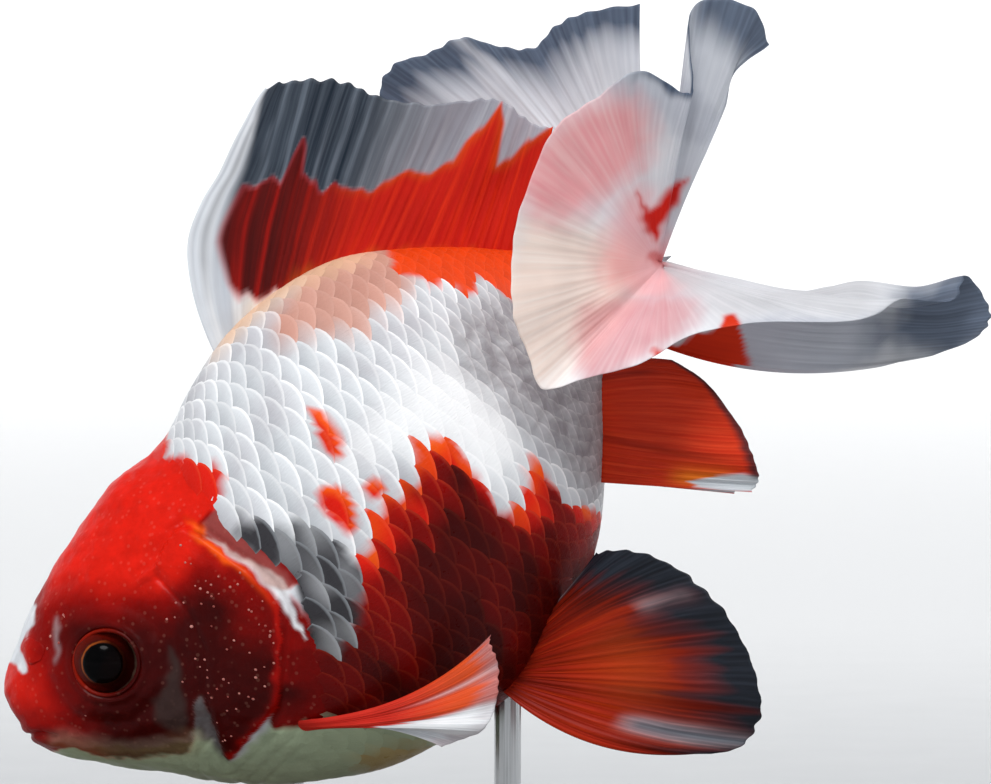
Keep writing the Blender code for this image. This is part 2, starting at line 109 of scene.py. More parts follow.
def addMesh(name, points, groups, material, smooth=True):
    # A closed mesh from groups of faces, each an array with one row for each face, turned outwards
    triangles = np.concatenate([g[:, [0, k, k + 1]] for g in groups for k in range(1, g.shape[1] - 1)])
    a, b, c = (points[triangles[:, k]] for k in range(3))
    if np.sum(a * np.cross(b, c)) < 0:
        groups = [g[:, ::-1] for g in groups]
    corners = np.concatenate([g.ravel() for g in groups]).astype(np.int32)
    totals = np.concatenate([np.full(len(g), g.shape[1]) for g in groups]).astype(np.int32)
    mesh = bpy.data.meshes.new(name)
    mesh.vertices.add(len(points))
    mesh.vertices.foreach_set("co", np.asarray(points, np.float32).ravel())
    mesh.loops.add(len(corners))
    mesh.loops.foreach_set("vertex_index", corners)
    mesh.polygons.add(len(totals))
    mesh.polygons.foreach_set("loop_start", np.concatenate([[0], np.cumsum(totals)[:-1]]).astype(np.int32))
    mesh.polygons.foreach_set("loop_total", totals)
    mesh.update(calc_edges=True)
    mesh.validate()
    if smooth:
        mesh.shade_smooth()
    if material:
        mesh.materials.append(material)
    obj = bpy.data.objects.new(name, mesh)
    bpy.context.scene.collection.objects.link(obj)
    return obj


def setField(mesh, name, values, kind="FLOAT"):
    # One value for each vertex, or four for a colour
    attribute = mesh.attributes.new(name, kind, "POINT")
    key = {"FLOAT": "value", "FLOAT_COLOR": "color", "FLOAT_VECTOR": "vector"}[kind]
    attribute.data.foreach_set(key, np.asarray(values, np.float32).ravel())


def gridFaces(rows, columns, closed):
    # Quads of a grid of rows by columns points; closed joins the last column to the first
    i, j = np.meshgrid(np.arange(rows - 1), np.arange(columns if closed else columns - 1), indexing="ij")
    across = (j + 1) % columns
    quad = [i * columns + j, i * columns + across, (i + 1) * columns + across, (i + 1) * columns + j]
    return np.stack([q.ravel() for q in quad], 1)


def hubFaces(hub, first, count, turned=False):
    # Triangles from the point hub to a ring of count points that starts at first
    j = np.arange(count)
    here, there = first + j, first + (j + 1) % count
    return np.stack([np.full(count, hub), *((there, here) if turned else (here, there))], 1)


def gridNormals(points):
    # Unit normals of a grid of points, rows by columns by three
    normal = np.cross(np.gradient(points, axis=0), np.gradient(points, axis=1))
    return normal / np.maximum(np.linalg.norm(normal, axis=-1, keepdims=True), 1e-9)


def step(low, high, value):
    t = np.clip((value - low) / (high - low), 0.0, 1.0)
    return t * t * (3 - 2 * t)


def bump(value, centre, width):
    return np.exp(-((value - centre) / width) ** 2)


def mottle(points, size, seed):
    # Soft cloudy noise, about -1 to 1, made of sine waves in all directions
    rng = np.random.default_rng(seed)
    total = np.zeros(len(points))
    for _ in range(12):
        way = rng.normal(size=points.shape[1])
        way *= rng.uniform(0.6, 1.7) * 2 * math.pi / size / np.linalg.norm(way)
        total += np.sin(points @ way + rng.uniform(0, 2 * math.pi))
    return total / 3.5


def spline(rows, u):
    # Catmull-Rom through the rows, at the parameters u from 0 to len(rows) - 1
    rows = np.asarray(rows, float)
    u = np.clip(np.asarray(u, float), 0.0, len(rows) - 1.0)
    i = np.minimum(u.astype(int), len(rows) - 2)
    f = (u - i)[:, None]
    a, b, c, d = (rows[np.clip(i + k, 0, len(rows) - 1)] for k in (-1, 0, 1, 2))
    return b + 0.5 * f * (c - a + f * (2 * a - 5 * b + 4 * c - d + f * (3 * (b - c) + d - a)))


def toLine(points, line):
    # Distance to a line of points and the share of the way along it, in the s-h plane
    line = np.asarray(line, float)
    best = np.full(len(points), 1e9)
    along = np.zeros(len(points))
    for k, (a, b) in enumerate(zip(line, line[1:])):
        t = np.clip(((points[:, :2] - a) @ (b - a)) / ((b - a) @ (b - a)), 0, 1)
        gap = np.linalg.norm(points[:, :2] - a - t[:, None] * (b - a), axis=1)
        near = gap < best
        best[near] = gap[near]
        along[near] = (k + t[near]) / (len(line) - 1)
    return best, along


def insideOf(points, outline, rounded=True):
    # Signed distance to a closed outline in the s-h plane, positive inside
    ring = np.array(outline, float)
    if rounded:
        wrapped = np.concatenate([ring[-2:], ring, ring[:2]])
        ring = spline(wrapped, np.linspace(2, len(ring) + 2, 5 * len(ring), endpoint=False))
    closed = np.concatenate([ring, ring[:1]])
    gap = toLine(points, closed)[0]
    within = np.zeros(len(points), bool)
    for (s0, h0), (s1, h1) in zip(closed, closed[1:]):
        if h0 != h1:
            crosses = (h0 > points[:, 1]) != (h1 > points[:, 1])
            within ^= crosses & (points[:, 0] < (s1 - s0) * (points[:, 1] - h0) / (h1 - h0) + s0)
    return np.where(within, gap, -gap)


# the fish's frame and body, the same stations as in the part

body = {
    "pitch": 33.0,
    "snout": (-51.0, 43.5),
    "tailBend": 4.0,
    "bendStart": 60.0,
    "tailRoot": 113.0,
    "fullestBelowMiddle": 0.12,
    "hump": 0.30,
    "humpFrom": 36.0,
    # s and h of the back, s and h of the belly, half width
    "stations": (
        (-1.0, -3.4, -0.8, -5.6, 0.4), (0.0, 1.0, -0.3, -10.0, 5.8), (3.7, 4.2, 2.0, -13.6, 8.7),
        (9.0, 8.0, 7.3, -18.7, 11.4), (15.5, 11.6, 14.3, -25.0, 14.2), (23.5, 15.2, 22.3, -31.9, 17.2),
        (32.0, 17.6, 31.3, -37.3, 19.9), (40.0, 18.8, 41.0, -41.3, 21.6), (48.0, 23.2, 50.0, -42.6, 22.6),
        (57.0, 27.1, 59.0, -42.8, 22.8), (67.0, 28.5, 68.0, -41.4, 21.6), (77.0, 27.6, 77.2, -37.2, 18.8),
        (86.0, 23.6, 87.0, -29.8, 14.8), (94.0, 18.7, 95.0, -19.6, 10.4), (101.0, 13.6, 101.5, -10.6, 7.4),
        (108.0, 10.4, 108.0, -8.4, 5.6), (114.0, 8.8, 113.5, -7.8, 4.4), (118.0, 5.6, 117.0, -5.0, 3.4),
        (119.4, 1.4, 119.2, -0.6, 0.4),
    ),
}
pitch = math.radians(body["pitch"])
lastStation = len(body["stations"]) - 1


def swing(s):
    length = body["tailRoot"] - body["bendStart"]
    t = np.clip((s - body["bendStart"]) / length, 0.0, 1.0)
    past = np.maximum(s - body["tailRoot"], 0.0)
    return -body["tailBend"] * (t * t + 2.0 * past / length)


def place(points):
    s, h, y = np.moveaxis(np.asarray(points, float), -1, 0)
    x = body["snout"][0] + s * math.cos(pitch) - h * math.sin(pitch)
    z = body["snout"][1] + s * math.sin(pitch) + h * math.cos(pitch)
    return np.stack([x, y + swing(s), z], -1) * mm


def bodyPoints(u, angle, inset):
    # u runs over the stations, angle from the back (0) round the right flank to the belly (pi)
    backS, backH, bellyS, bellyH, half = spline(body["stations"], u).T
    middleS, middleH = (backS + bellyS) / 2, (backH + bellyH) / 2
    reachS, reachH = (backS - bellyS) / 2, (backH - bellyH) / 2
    length = np.maximum(np.hypot(reachS, reachH), 1e-6)
    shrink = np.maximum(length - inset, 0.05) / length
    side = np.sin(angle)
    rise = np.cos(angle) - body["fullestBelowMiddle"] * side ** 2
    onHump = np.clip((middleS - body["humpFrom"]) / 20.0, 0, 1) * np.clip(np.cos(angle), 0, 1)
    power = 1.0 + body["hump"] * onHump
    wide = np.sign(side) * np.abs(side) ** power * np.maximum(half - inset, 0.05)
    return np.stack([middleS + reachS * shrink * rise, middleH + reachH * shrink * rise, wide], 1)


# lines and outlines on the flank, in s and h

face = {
    "eye": (16.2, -4.3),
    "eyeRadius": 4.95,               # of the ring where skin meets the eyeball
    "gillRear": ((37.1, 6.3), (38.8, 3.8), (40.4, 0.0), (42.0, -3.6), (43.0, -7.0), (43.0, -10.2),
                 (41.7, -13.6), (39.3, -17.0), (37.2, -20.0), (34.8, -22.8), (31.6, -24.2), (28.2, -25.2),
                 (22.7, -26.7)),
    "gillTop": ((37.1, 6.3), (35.8, 6.4), (33.4, 5.6), (31.4, 4.2), (30.2, 3.5), (28.3, 3.6), (25.5, 3.0)),
    "cheekLine": ((29.8, 2.6), (31.0, -3.5), (29.6, -10.5), (26.4, -15.5), (24.4, -21.0), (22.8, -26.6)),
    "mouthLine": ((-1.4, -7.6), (0.3, -7.6), (1.8, -8.3), (3.2, -9.6)),
    "pores": ((33.7, 16.5), (33.3, 11.6), (29.5, 9.0), (24.5, 7.6), (20.0, 7.8)),
    "nostril": (7.3, 2.9),
}

patches = {
    # closed outlines of the markings on the flank, with the width of their soft edge
    "head": (((-9, 34), (40.9, 34), (40.9, 18.8), (40.1, 16.8), (41.6, 16.2), (43.0, 14.4), (44.1, 12.9),
              (45.6, 12.0), (46.2, 10.0), (44.8, 8.1), (43.4, 7.4), (42.2, 5.6), (39.4, 4.6), (40.4, 0.2),
              (42.2, -3.8), (43.1, -7.6), (43.0, -10.6), (41.5, -13.7), (39.1, -16.9), (37.2, -19.8),
              (34.9, -22.8), (31.8, -24.0), (28.2, -24.9), (23.4, -26.2), (24.6, -21.0), (25.6, -15.6),
              (23.6, -17.0), (21.8, -19.6), (19.1, -22.0), (15.3, -20.4), (10.5, -18.3), (7.0, -15.7),
              (3.6, -12.0), (-0.5, -12.0), (-9, -13)), 0.35),
    "flank": (((55.6, -11.4), (58.4, -10.0), (60.3, -8.6), (62.3, -6.2), (63.6, -5.5), (65.4, -6.0),
               (66.8, -5.7), (69.1, -6.0), (70.5, -4.4), (72.1, -2.9), (73.9, -2.6), (75.8, -3.4),
               (76.8, -6.0), (77.2, -8.6), (77.6, -11.0), (77.3, -12.8), (77.2, -15.2), (77.6, -17.0),
               (78.6, -18.5), (80.0, -17.7), (82.2, -17.2), (83.6, -15.4), (85.2, -13.5), (86.1, -15.2),
               (85.9, -17.9), (86.0, -20.4), (86.9, -22.6), (88.3, -24.0), (90, -34), (80, -52), (61, -50),
               (58, -42.6), (53.6, -39.4), (47.6, -35.4), (43.4, -32.0), (41.4, -29.4), (41.4, -27.0),
               (47.0, -22.6), (49.8, -21.0), (53.4, -15.8)), 0.4),
    "bulge": (((42.2, -9.6), (44.9, -10.4), (45.4, -13.5), (45.0, -17.5), (43.4, -21.5), (40.6, -26.0),
               (36.0, -27.4), (32.0, -25.2), (33.6, -22.4), (36.4, -18.6), (39.4, -14.6), (41.2, -12.0)),
              0.5),
    "saddle": (((84.4, 30), (84.0, 23.6), (83.4, 21.0), (85.6, 18.6), (86.4, 15.8), (88.4, 16.2),
                (90.0, 13.2), (91.4, 11.6), (92.8, 13.4), (95.0, 10.6), (95.9, 6.9), (98.6, 8.0),
                (101, 12), (101, 30)), 0.4),
    "salmon": (((63.5, 21.5), (66, 26), (84, 30), (85, 20), (81.8, 16.6), (77.5, 17.6), (74.5, 16.0),
                (69, 19.6)), 2.0),
    "spotUpper": (((62.2, 11.1), (63.3, 10.2), (63.9, 7.7), (64.0, 5.2), (63.3, 3.7), (62.1, 2.8),
                   (60.8, 4.2), (61.0, 6.4), (61.7, 8.6)), 0.35),
    "spotLower": (((57.2, 0.5), (59.1, -0.2), (60.3, -2.1), (60.0, -5.0), (58.5, -7.3), (57.2, -7.8),
                   (56.8, -5.7), (56.0, -3.2), (56.1, -1.2)), 0.35),
    "spotSmall": (((63.0, -2.8), (65.6, -3.2), (65.0, -5.0), (62.6, -4.6)), 0.35),
    "slate": (((43.6, 4.0), (46.4, 0.6), (48.6, -1.0), (52.4, -3.0), (55.2, -8.0), (55.0, -15.0),
               (50.4, -23.4), (42.9, -26.7), (42.6, -20.1), (45.0, -14.0), (46.5, -9.0), (45.8, -5.0),
               (44.6, -1.0), (43.4, 1.6)), 0.7),
    "wedge": (((25.6, -14.2), (25.8, -16.7), (25.2, -19.6), (24.1, -23.0), (23.2, -26.4), (21.4, -26.4),
               (20.4, -24.3), (20.6, -21.9), (22.2, -19.3), (23.9, -17.0)), 0.8),
    # a painted highlight: the brightest white of the flank, where the light falls
    "highlightAndMembrane": (((62, 2), (70, 5), (79, 6.5), (85, 4), (87, -2), (86, -9), (83, -12.5), (78, -12), (76, -4),
               (70, -1)), 4.0),
    "stalkShade": (((84.4, 6), (88, 10), (98, 9), (104, 2), (104, -8), (96, -18), (90, -24), (88.5, -14),
                    (86.5, -6), (84.8, 0)), 3.0),
    "cheekPale": (((25.5, -7.0), (25.9, -9.4), (24.5, -12.6), (23.3, -15.4), (22.1, -18.0), (20.4, -19.0),
                   (18.2, -17.6), (17.4, -15.2), (18.6, -13.0), (20.9, -11.7), (23.4, -10.0)), 1.4),
    "snoutPale": (((11.4, 11.0), (10.4, 7.6), (9.7, 6.3), (8.6, 5.9), (7.6, 5.4), (6.9, 5.1), (5.7, 4.2),
                   (5.5, 2.6), (5.3, 1.0), (4.2, 0.8), (3.6, 2.4), (3.0, 4.6), (7.0, 11)), 0.3),
    "preEye": (((13.2, 4.6), (12.6, 4.9), (9.9, 0.6), (9.6, -0.4), (10.4, 0.0)), 0.6),
    "slitMembrane": (((39.4, 3.4), (40.7, 0.8), (42.5, -2.6), (43.8, -4.8), (45.3, -6.8), (45.5, -8.6),
                      (44.9, -10.8), (44.3, -13.6), (43.8, -16.0), (43.3, -16.0), (43.2, -9.0),
                      (42.7, -5.2), (41.3, -1.6), (40.0, 1.4)), 0.4),
    "slitPink": (((38.4, 5.4), (42.6, 6.0), (46.4, 2.0), (49.0, -3.0), (49.0, -9.0), (45.4, -9.4),
                  (43.4, -8.0), (42.6, -4.6), (41.0, -1.0), (39.4, 2.6)), 0.4),
    "olive": (((0, -9), (6, -13.0), (14, -18.0), (19, -20), (22.4, -22), (23.4, -26.4), (28, -25.8),
               (34, -24.6), (38, -26.6), (42, -29.6), (52, -36.6), (58, -40), (60, -46), (50, -56),
               (10, -40)), 0.8),
    "jaw": (((2.6, -10.6), (7.3, -15.6), (11.4, -18.4), (15.8, -20.8), (19.9, -23.0), (21.6, -20.6),
             (16.2, -18.8), (11.6, -16.6), (8.0, -13.6), (4.0, -10.0)), 2.0),
    "armpit": (((40.0, -17.0), (43.6, -18.6), (46.6, -25.0), (46.0, -32.6), (42.4, -31.0), (39.0, -29.2),
                (36.4, -27.4), (35.0, -25.4), (37.6, -20.6)), 0.6),
    "ochre": (((40, -36.5), (46, -38.5), (49, -42), (44, -44), (39, -40)), 1.6),
}


# the painted shade darkens the red low on the head and flank, where it stands partly for a deeper maroon of
# the fish's own
shading = {
    "wander": 0.22,                  # how far the outlines stray, mm
    "rightShift": (1.4, 2.2),        # how far the right flank's outlines lie from the left one's
    "headShade": (20.5, 7.5),         # height over the snout where the painted shade on the head's red starts and ends
    "gillShade": (4.5, 6.0),          # what is added to those on the gill covers
    "flankShade": (0.5, 9.5),         # depth under the red's upper edge where the painted shade on the flank starts and ends
    "browDepth": (3.6, 0.4),         # the orange edge of the red on the flank
    "spotRear": (1.1, 0.5),          # reach of the orange rear edge of the spots
}

# s and h along the upper edge of the red on the flank
flankTop = ((50, -20), (52, -16), (55.6, -11.4), (60.3, -8.6), (63.6, -5.5), (67.8, -5.9), (70.5, -4.4),
            (73.9, -2.6), (75.8, -3.6), (77.2, -11), (78, -17.6), (80, -17.7), (82.2, -17.2),
            (85.2, -13.5), (86, -18.0), (88, -24))


def fleshMarks(points, edge=1.0, own=None):
    # What colours the skin and its scales: two sets of four shares for each point; the first set ends with
    # the share of painted shade
    right = step(0.0, 9.0, points[:, 2])                              # the right flank has its own edges
    at = points.copy()
    shift, wave = shading["rightShift"]
    at[:, 0] += right * (shift + wave * np.sin(points[:, 1] / 7.0))
    at[:, 1] -= right
    wander = np.stack([mottle(points, 3.2, 5), mottle(points, 3.0, 6)], 1)
    at[:, :2] += shading["wander"] * edge * wander
    s, h = at[:, 0], at[:, 1]
    share, spotRear = {}, 0.0
    for name, (outline, soft) in patches.items():
        where = own if own is not None and name.startswith("spot") else at
        share[name] = step(-soft, soft, insideOf(where, outline))
        if name.startswith("spot"):                                   # orange along its rear edge
            front = step(-0.6, 0.6, insideOf(where + [*shading["spotRear"], 0], outline))
            spotRear = np.maximum(spotRear, share[name] * (1 - front))
    if own is not None:
        share["slitPink"] *= 0                                        # only the bare skin shows it
    xi = s * math.cos(pitch) - h * math.sin(pitch)      # level reach behind the snout
    zeta = s * math.sin(pitch) + h * math.cos(pitch)    # height over the snout
    back = step(22, 32, xi)                                           # the painted shade reaches higher up on the gill covers
    above, below = (a + b * back for a, b in zip(shading["headShade"], shading["gillShade"]))
    # painted shade over the head: deeper low down, in a ring round the eye that is deepest behind it,
    # lighter along the gill cover's raised rear edge
    headShade = step(above, below, zeta + 1.5 * mottle(points, 14, 7))
    headShade *= step(0.0, 16.0, xi + 0.35 * zeta)
    headShade *= 1 - 0.3 * step(32, 38, xi) * step(5, 13, zeta)
    headShade = np.maximum(headShade, 0.6 * step(4.0, -8.0, zeta))
    eyeGap = np.hypot(s - face["eye"][0], h - face["eye"][1])
    behind = step(-5.0, 5.0, s - face["eye"][0] - 0.6 * (h - face["eye"][1]))
    headShade = np.maximum(headShade, (0.3 + 0.6 * behind) * bump(eyeGap, 6.2, 2.0))
    headShade *= 1 - 0.6 * bump(toLine(at, face["gillRear"])[0], 0.4, 0.7)
    under = np.interp(s, *np.transpose(flankTop)) - h                 # depth below the red's upper edge
    depth = under + 0.8 * np.clip(58 - s, 0, 8)
    # painted shade over the flank, deepening below the red's upper edge, and on the bulge under the gill
    # cover and in the breast fin's armpit
    trunkShade = step(*shading["flankShade"], depth + 1.8 * mottle(points, 6, 8))
    trunkShade *= 0.92 + 0.12 * mottle(points, 9, 12)
    trunkShade *= 1 - 0.35 * step(79, 87, s)
    trunkShade = np.maximum.reduce([trunkShade, share["bulge"] * 0.62, share["armpit"] * 0.75])
    trunkShade *= 1 - 0.3 * step(4.0, -8.0, zeta)
    red = np.maximum.reduce([share[k] for k in ("head", "flank", "bulge", "armpit", "saddle", "spotUpper",
                                                "spotLower", "spotSmall")])
    pale = np.maximum(share["snoutPale"], 0.22 * share["preEye"])
    red *= (1 - pale) * (1 - 0.75 * step(0.25, 1.0, share["cheekPale"]))
    red = np.maximum(red, 0.86 * share["slitPink"])
    red *= (1 - share["slitMembrane"]) * (1 - 0.14 * share["jaw"])
    # the share of painted shade, partly a deeper maroon of the fish's own; it also darkens the pale cheek
    # marks, the jaw and the slit
    shadeAndMaroon = np.where(share["head"] > 0.5, headShade, trunkShade)
    shadeAndMaroon = np.maximum.reduce([shadeAndMaroon, 0.5 * share["slitPink"], 0.7 * share["jaw"],
                              0.9 * np.minimum(6 * share["cheekPale"], 1),
                              0.84 * np.minimum(3 * share["wedge"], 1)])
    brow = share["flank"] * step(*shading["browDepth"], under) * step(55.5, 58.5, s)
    rimLine = toLine(at, face["gillRear"][:10])[0]
    rimGlow = share["head"] * bump(rimLine, 0.7, 0.6) * step(37.0, 38.5, s)
    rimGlow *= step(-12.0, -4.0, h) * (0.9 - 0.55 * step(39.5, 42.0, s))
    brow *= (0.6 + 0.4 * mottle(points, 4, 9)).clip(0, 1)
    gold = np.maximum.reduce([0.2 * share["spotUpper"], spotRear, brow, 0.5 * share["saddle"], rimGlow])
    slate = share["slate"] * (1.0 + 0.3 * mottle(points, 6, 10)).clip(0, 1)
    marks = np.stack([red, gold.clip(0, 1), slate.clip(0, 1), shadeAndMaroon.clip(0, 1)], 1)
    ridge = 0.9 * step(6.0, 1.5, np.abs(points[:, 2])) * step(50, 58, s) * step(85, 78, s)
    ridge *= step(20, 25, h)
    salmon = np.maximum(share["salmon"], 0.6 * share["slitPink"])
    # painted highlight on the flank's white, held off the stalk, together with the gill slit membrane's own
    # pale colour
    highlightAndMembrane = np.maximum(share["highlightAndMembrane"] - share["stalkShade"] * 0.9, 0) + 0.5 * share["slitMembrane"]
    lilac = np.maximum.reduce([share["stalkShade"] * 0.8, np.minimum(8 * share["cheekPale"], 1),
                               np.minimum(4 * share["wedge"], 1), 0.35 * share["slitPink"]])
    tints = np.stack([salmon, np.maximum(share["olive"], 0.8 * share["jaw"]), highlightAndMembrane, lilac], 1)
    warm = np.maximum.reduce([0.75 * share["ochre"], 0.22 * share["jaw"], ridge])
    return marks, tints.clip(0, 1), warm.clip(0, 1)


# flesh colours, shared by the skin and the scales; redLit, redMid and redShaded, slate and slateShaded,
# lilac and lilacShaded are lit and painted-shade copies of one colour

fleshTones = {
    "redLit": "#dc1c0c", "redMid": "#8c0602", "redShaded": "#3c0201",
    "goldLit": "#fa6010", "slate": "#3c3b3f", "slateShaded": "#2a2626",
    "highlightAndMembrane": "#fbfcfd", "salmon": "#cc8266", "olive": "#a3b294", "ochre": "#a88a50",
    "lilac": "#8b868a", "lilacShaded": "#3c312e", "cream": "#eec3a0",
}


def fleshColour(tree, at, under):
    # Lays the markings over the plain colour of skin or scale, and darkens red, slate and lilac towards
    # their copies in painted shade by the shade share
    marks = addNode(tree, "Attribute", attribute_name="marks")
    tints = addNode(tree, "Attribute", attribute_name="tints")
    warm = addNode(tree, "Attribute", attribute_name="warm").outputs["Fac"]
    red, gold, slate = addNode(tree, "SeparateColor", {0: marks.outputs["Color"]}).outputs
    shadeAndMaroon = marks.outputs["Alpha"]
    salmon, olive, highlightAndMembrane = addNode(tree, "SeparateColor", {0: tints.outputs["Color"]}).outputs
    lilac = tints.outputs["Alpha"]
    tone = {name: toLinear(code) for name, code in fleshTones.items()}
    # the painted highlight and the slit membrane's white over the plain colour
    colour = addNode(tree, "Mix", (addNode(tree, "Math MULTIPLY", (highlightAndMembrane, 0.9)), under, tone["highlightAndMembrane"]),
                     data_type="RGBA")
    lilacTone = addNode(tree, "Mix", (shadeAndMaroon, tone["lilac"], tone["lilacShaded"]), data_type="RGBA")
    streaks = addNode(tree, "TexNoise", {"Vector": at, "Scale": 420.0, "Detail": 4.0, "Distortion": 0.5})
    patchy = addNode(tree, "MapRange", {0: streaks, 1: 0.34, 2: 0.66, 3: 0.55, 4: 1.1})
    patchy = addNode(tree, "Math SUBTRACT", (patchy, 1.0))
    patchy = addNode(tree, "Math MULTIPLY_ADD", (patchy, addNode(tree, "Math SUBTRACT", (1.0, shadeAndMaroon)), 1.0))
    colour = addNode(tree, "Mix", (addNode(tree, "Math MULTIPLY", (lilac, patchy), use_clamp=True), colour,
                                   lilacTone), data_type="RGBA")
    colour = addNode(tree, "Mix", (addNode(tree, "Math MULTIPLY", (salmon, 0.8)), colour, tone["salmon"]),
                     data_type="RGBA")
    colour = addNode(tree, "Mix", (olive, colour, tone["olive"]), data_type="RGBA")
    slateTone = addNode(tree, "Mix", (shadeAndMaroon, tone["slate"], tone["slateShaded"]), data_type="RGBA")
    colour = addNode(tree, "Mix", (slate, colour, slateTone), data_type="RGBA")
    redTone = addNode(tree, "ValToRGB", {0: shadeAndMaroon}, stops=(
        (0.02, fleshTones["redLit"]), (0.5, fleshTones["redMid"]), (1.0, fleshTones["redShaded"])))
    redGold = addNode(tree, "Mix", (addNode(tree, "Math MULTIPLY", (gold, 0.9)), redTone, tone["goldLit"]),
                      data_type="RGBA")
    colour = addNode(tree, "Mix", (red, colour, redGold), data_type="RGBA")
    warmTone = addNode(tree, "Mix", (olive, tone["cream"], tone["ochre"]), data_type="RGBA")
    colour = addNode(tree, "Mix", (warm, colour, warmTone), data_type="RGBA")
    return colour, red, shadeAndMaroon, slate


# the skin: one closed surface with the gill covers, lids, lips and pores worked into it

skin = {
    "rings": ((0.0, 2.5, 46), (2.5, 8.2, 172), (8.2, 18.0, 66)),     # stations from, to and rings
    "sides": 336,
    "inset": 0.45,
    "lidHeight": 0.5,
    "socketDepth": 5.0,
    # heights and depths of what is worked into the skin, in mm
    "gillStep": 0.85,
    "gillGroove": 0.35,
    "gillRim": 0.22,
    "gillTopRidge": (0.3, 0.4),      # the ridge and the hollow above it
    "cheekGroove": 0.25,
    "cheekSwell": 0.2,
    "eyeFold": 0.22,
    "eyeSwell": 0.35,
    "mouthSlit": 0.42,
    "lip": 0.22,
    "pore": 0.12,
    "hoodStep": 0.55,
    "lumps": (0.10, 0.05),
    "throatFold": 0.22,
    "throatFoldsAt": (2.2, 4.4, 6.4),
    "finRoot": ((32.6, -27.0), 0.7),
    "stalkTuck": 1.6,
}


def relief(points):
    # How far the skin stands out from the plain body, in millimetres
    s, h = points[:, 0], points[:, 1]
    edge, along = toLine(points, face["gillRear"])
    gillShape = [*face["gillRear"], *face["cheekLine"][::-1], *face["gillTop"][:0:-1]]
    cover = insideOf(points, gillShape, rounded=False)
    inCover = cover > 0
    rearward = np.where(inCover, edge, -edge)
    fade = step(20.0, 27.0, s)
    out = skin["gillStep"] * fade * step(-0.45, 0.65, rearward) * step(13.0, 2.5, edge)
    out -= skin["gillGroove"] * fade * bump(rearward, -0.9, 0.55) * step(0.99, 0.9, along)
    out += skin["gillRim"] * fade * bump(rearward, 0.9, 0.7)
    top = toLine(points, face["gillTop"])[0]
    above = h > np.interp(s, *np.transpose(face["gillTop"][::-1]))
    ridge, hollow = skin["gillTopRidge"]
    crease = ridge * bump(top, 0, 0.5) - hollow * above * bump(top, 1.0, 0.6)
    out += step(24, 28, s) * step(38.5, 36.5, s) * crease
    cheek = toLine(points, face["cheekLine"])[0]
    out -= skin["cheekGroove"] * bump(cheek, 0, 0.55)
    out += skin["cheekSwell"] * bump(cheek, 1.4, 1.0)
    eye = np.hypot(s - face["eye"][0], h - face["eye"][1])
    out -= skin["eyeFold"] * bump(eye, 9.2, 0.9) * step(6, -2, h)
    out += skin["eyeSwell"] * bump(eye, 7.2, 1.6)
    mouth = toLine(points, face["mouthLine"])[0]
    atMouth = step(5.5, 2.5, s)
    out -= skin["mouthSlit"] * bump(mouth, 0, 0.38) * atMouth
    out += skin["lip"] * bump(mouth, 1.2, 0.8) * atMouth
    for poreS, poreH in face["pores"]:
        gap = np.hypot(s - poreS, h - poreH)
        out += skin["pore"] * (0.7 * bump(gap, 1.0, 0.45) - bump(gap, 0, 0.55))
    out += skin["hoodStep"] * bump(s, 30.5, 3.2) * step(11, 15, h)    # on the forehead
    broad, small = skin["lumps"]
    out += step(44, 36, s) * (broad * mottle(points, 7, 21) + small * mottle(points, 2.6, 22))
    throat = h < -22
    for shift in skin["throatFoldsAt"]:
        fold = np.abs(rearward + shift)
        out -= skin["throatFold"] * throat * bump(fold, 0, 0.35) * step(16, 20, s) * step(37, 33, s)
    out -= skin["stalkTuck"] * step(111.0, 116.5, s)                  # the stalk slips in under the tail
    (rootS, rootH), rise = skin["finRoot"]                            # flesh at the root of the breast fin
    out += rise * bump(np.hypot(s - rootS, (h - rootH) / 1.4), 0, 2.6)
    return out


def sinkEyes(points):
    # Draws the skin in behind the eyeball and swells it round the lid
    radius = np.hypot(points[:, 0] - face["eye"][0], points[:, 1] - face["eye"][1])
    side = np.abs(points[:, 2]) > 5
    ring = face["eyeRadius"]
    lid = skin["lidHeight"] * bump(radius, ring + 0.75, 0.6) * side
    sink = skin["socketDepth"] * step(ring + 0.1, ring - 0.5, radius) * side
    points = points.copy()
    points[:, 2] += np.sign(points[:, 2]) * (lid - sink)
    return points


def onSkin(surface, at, flank):
    # Depth y of the flank's surface at the places at, from the skin's own points
    near = surface[(np.sign(surface[:, 2]) == flank) & (surface[:, 0] < 45)]
    depth = []
    for s, h in at:
        gap = np.hypot(near[:, 0] - s, near[:, 1] - h)
        best = np.argsort(gap)[:5]
        depth.append(np.average(near[best, 2], weights=1 / (gap[best] + 0.05)))
    return np.array(depth)


def ringIsland(centreLine, outward, tube, turns=12):
    # A closed bead along a closed line of points
    count = len(centreLine)
    tangent = np.roll(centreLine, -1, 0) - np.roll(centreLine, 1, 0)
    tangent /= np.linalg.norm(tangent, axis=1, keepdims=True)
    side = np.cross(tangent, outward)
    angle = np.linspace(0, 2 * math.pi, turns, endpoint=False)
    points = centreLine[:, None] + tube * (side[:, None] * np.cos(angle)[None, :, None]
                                           + outward[:, None] * np.sin(angle)[None, :, None])
    return points.reshape(-1, 3), gridFaces(count + 1, turns, True) % (count * turns)


def orientOut(points, faces):
    a, b, c = (points[faces[:, k]] for k in range(3))
    centre = points.mean(0)
    return faces if np.sum((a - centre) * np.cross(b - centre, c - centre)) > 0 else faces[:, ::-1]


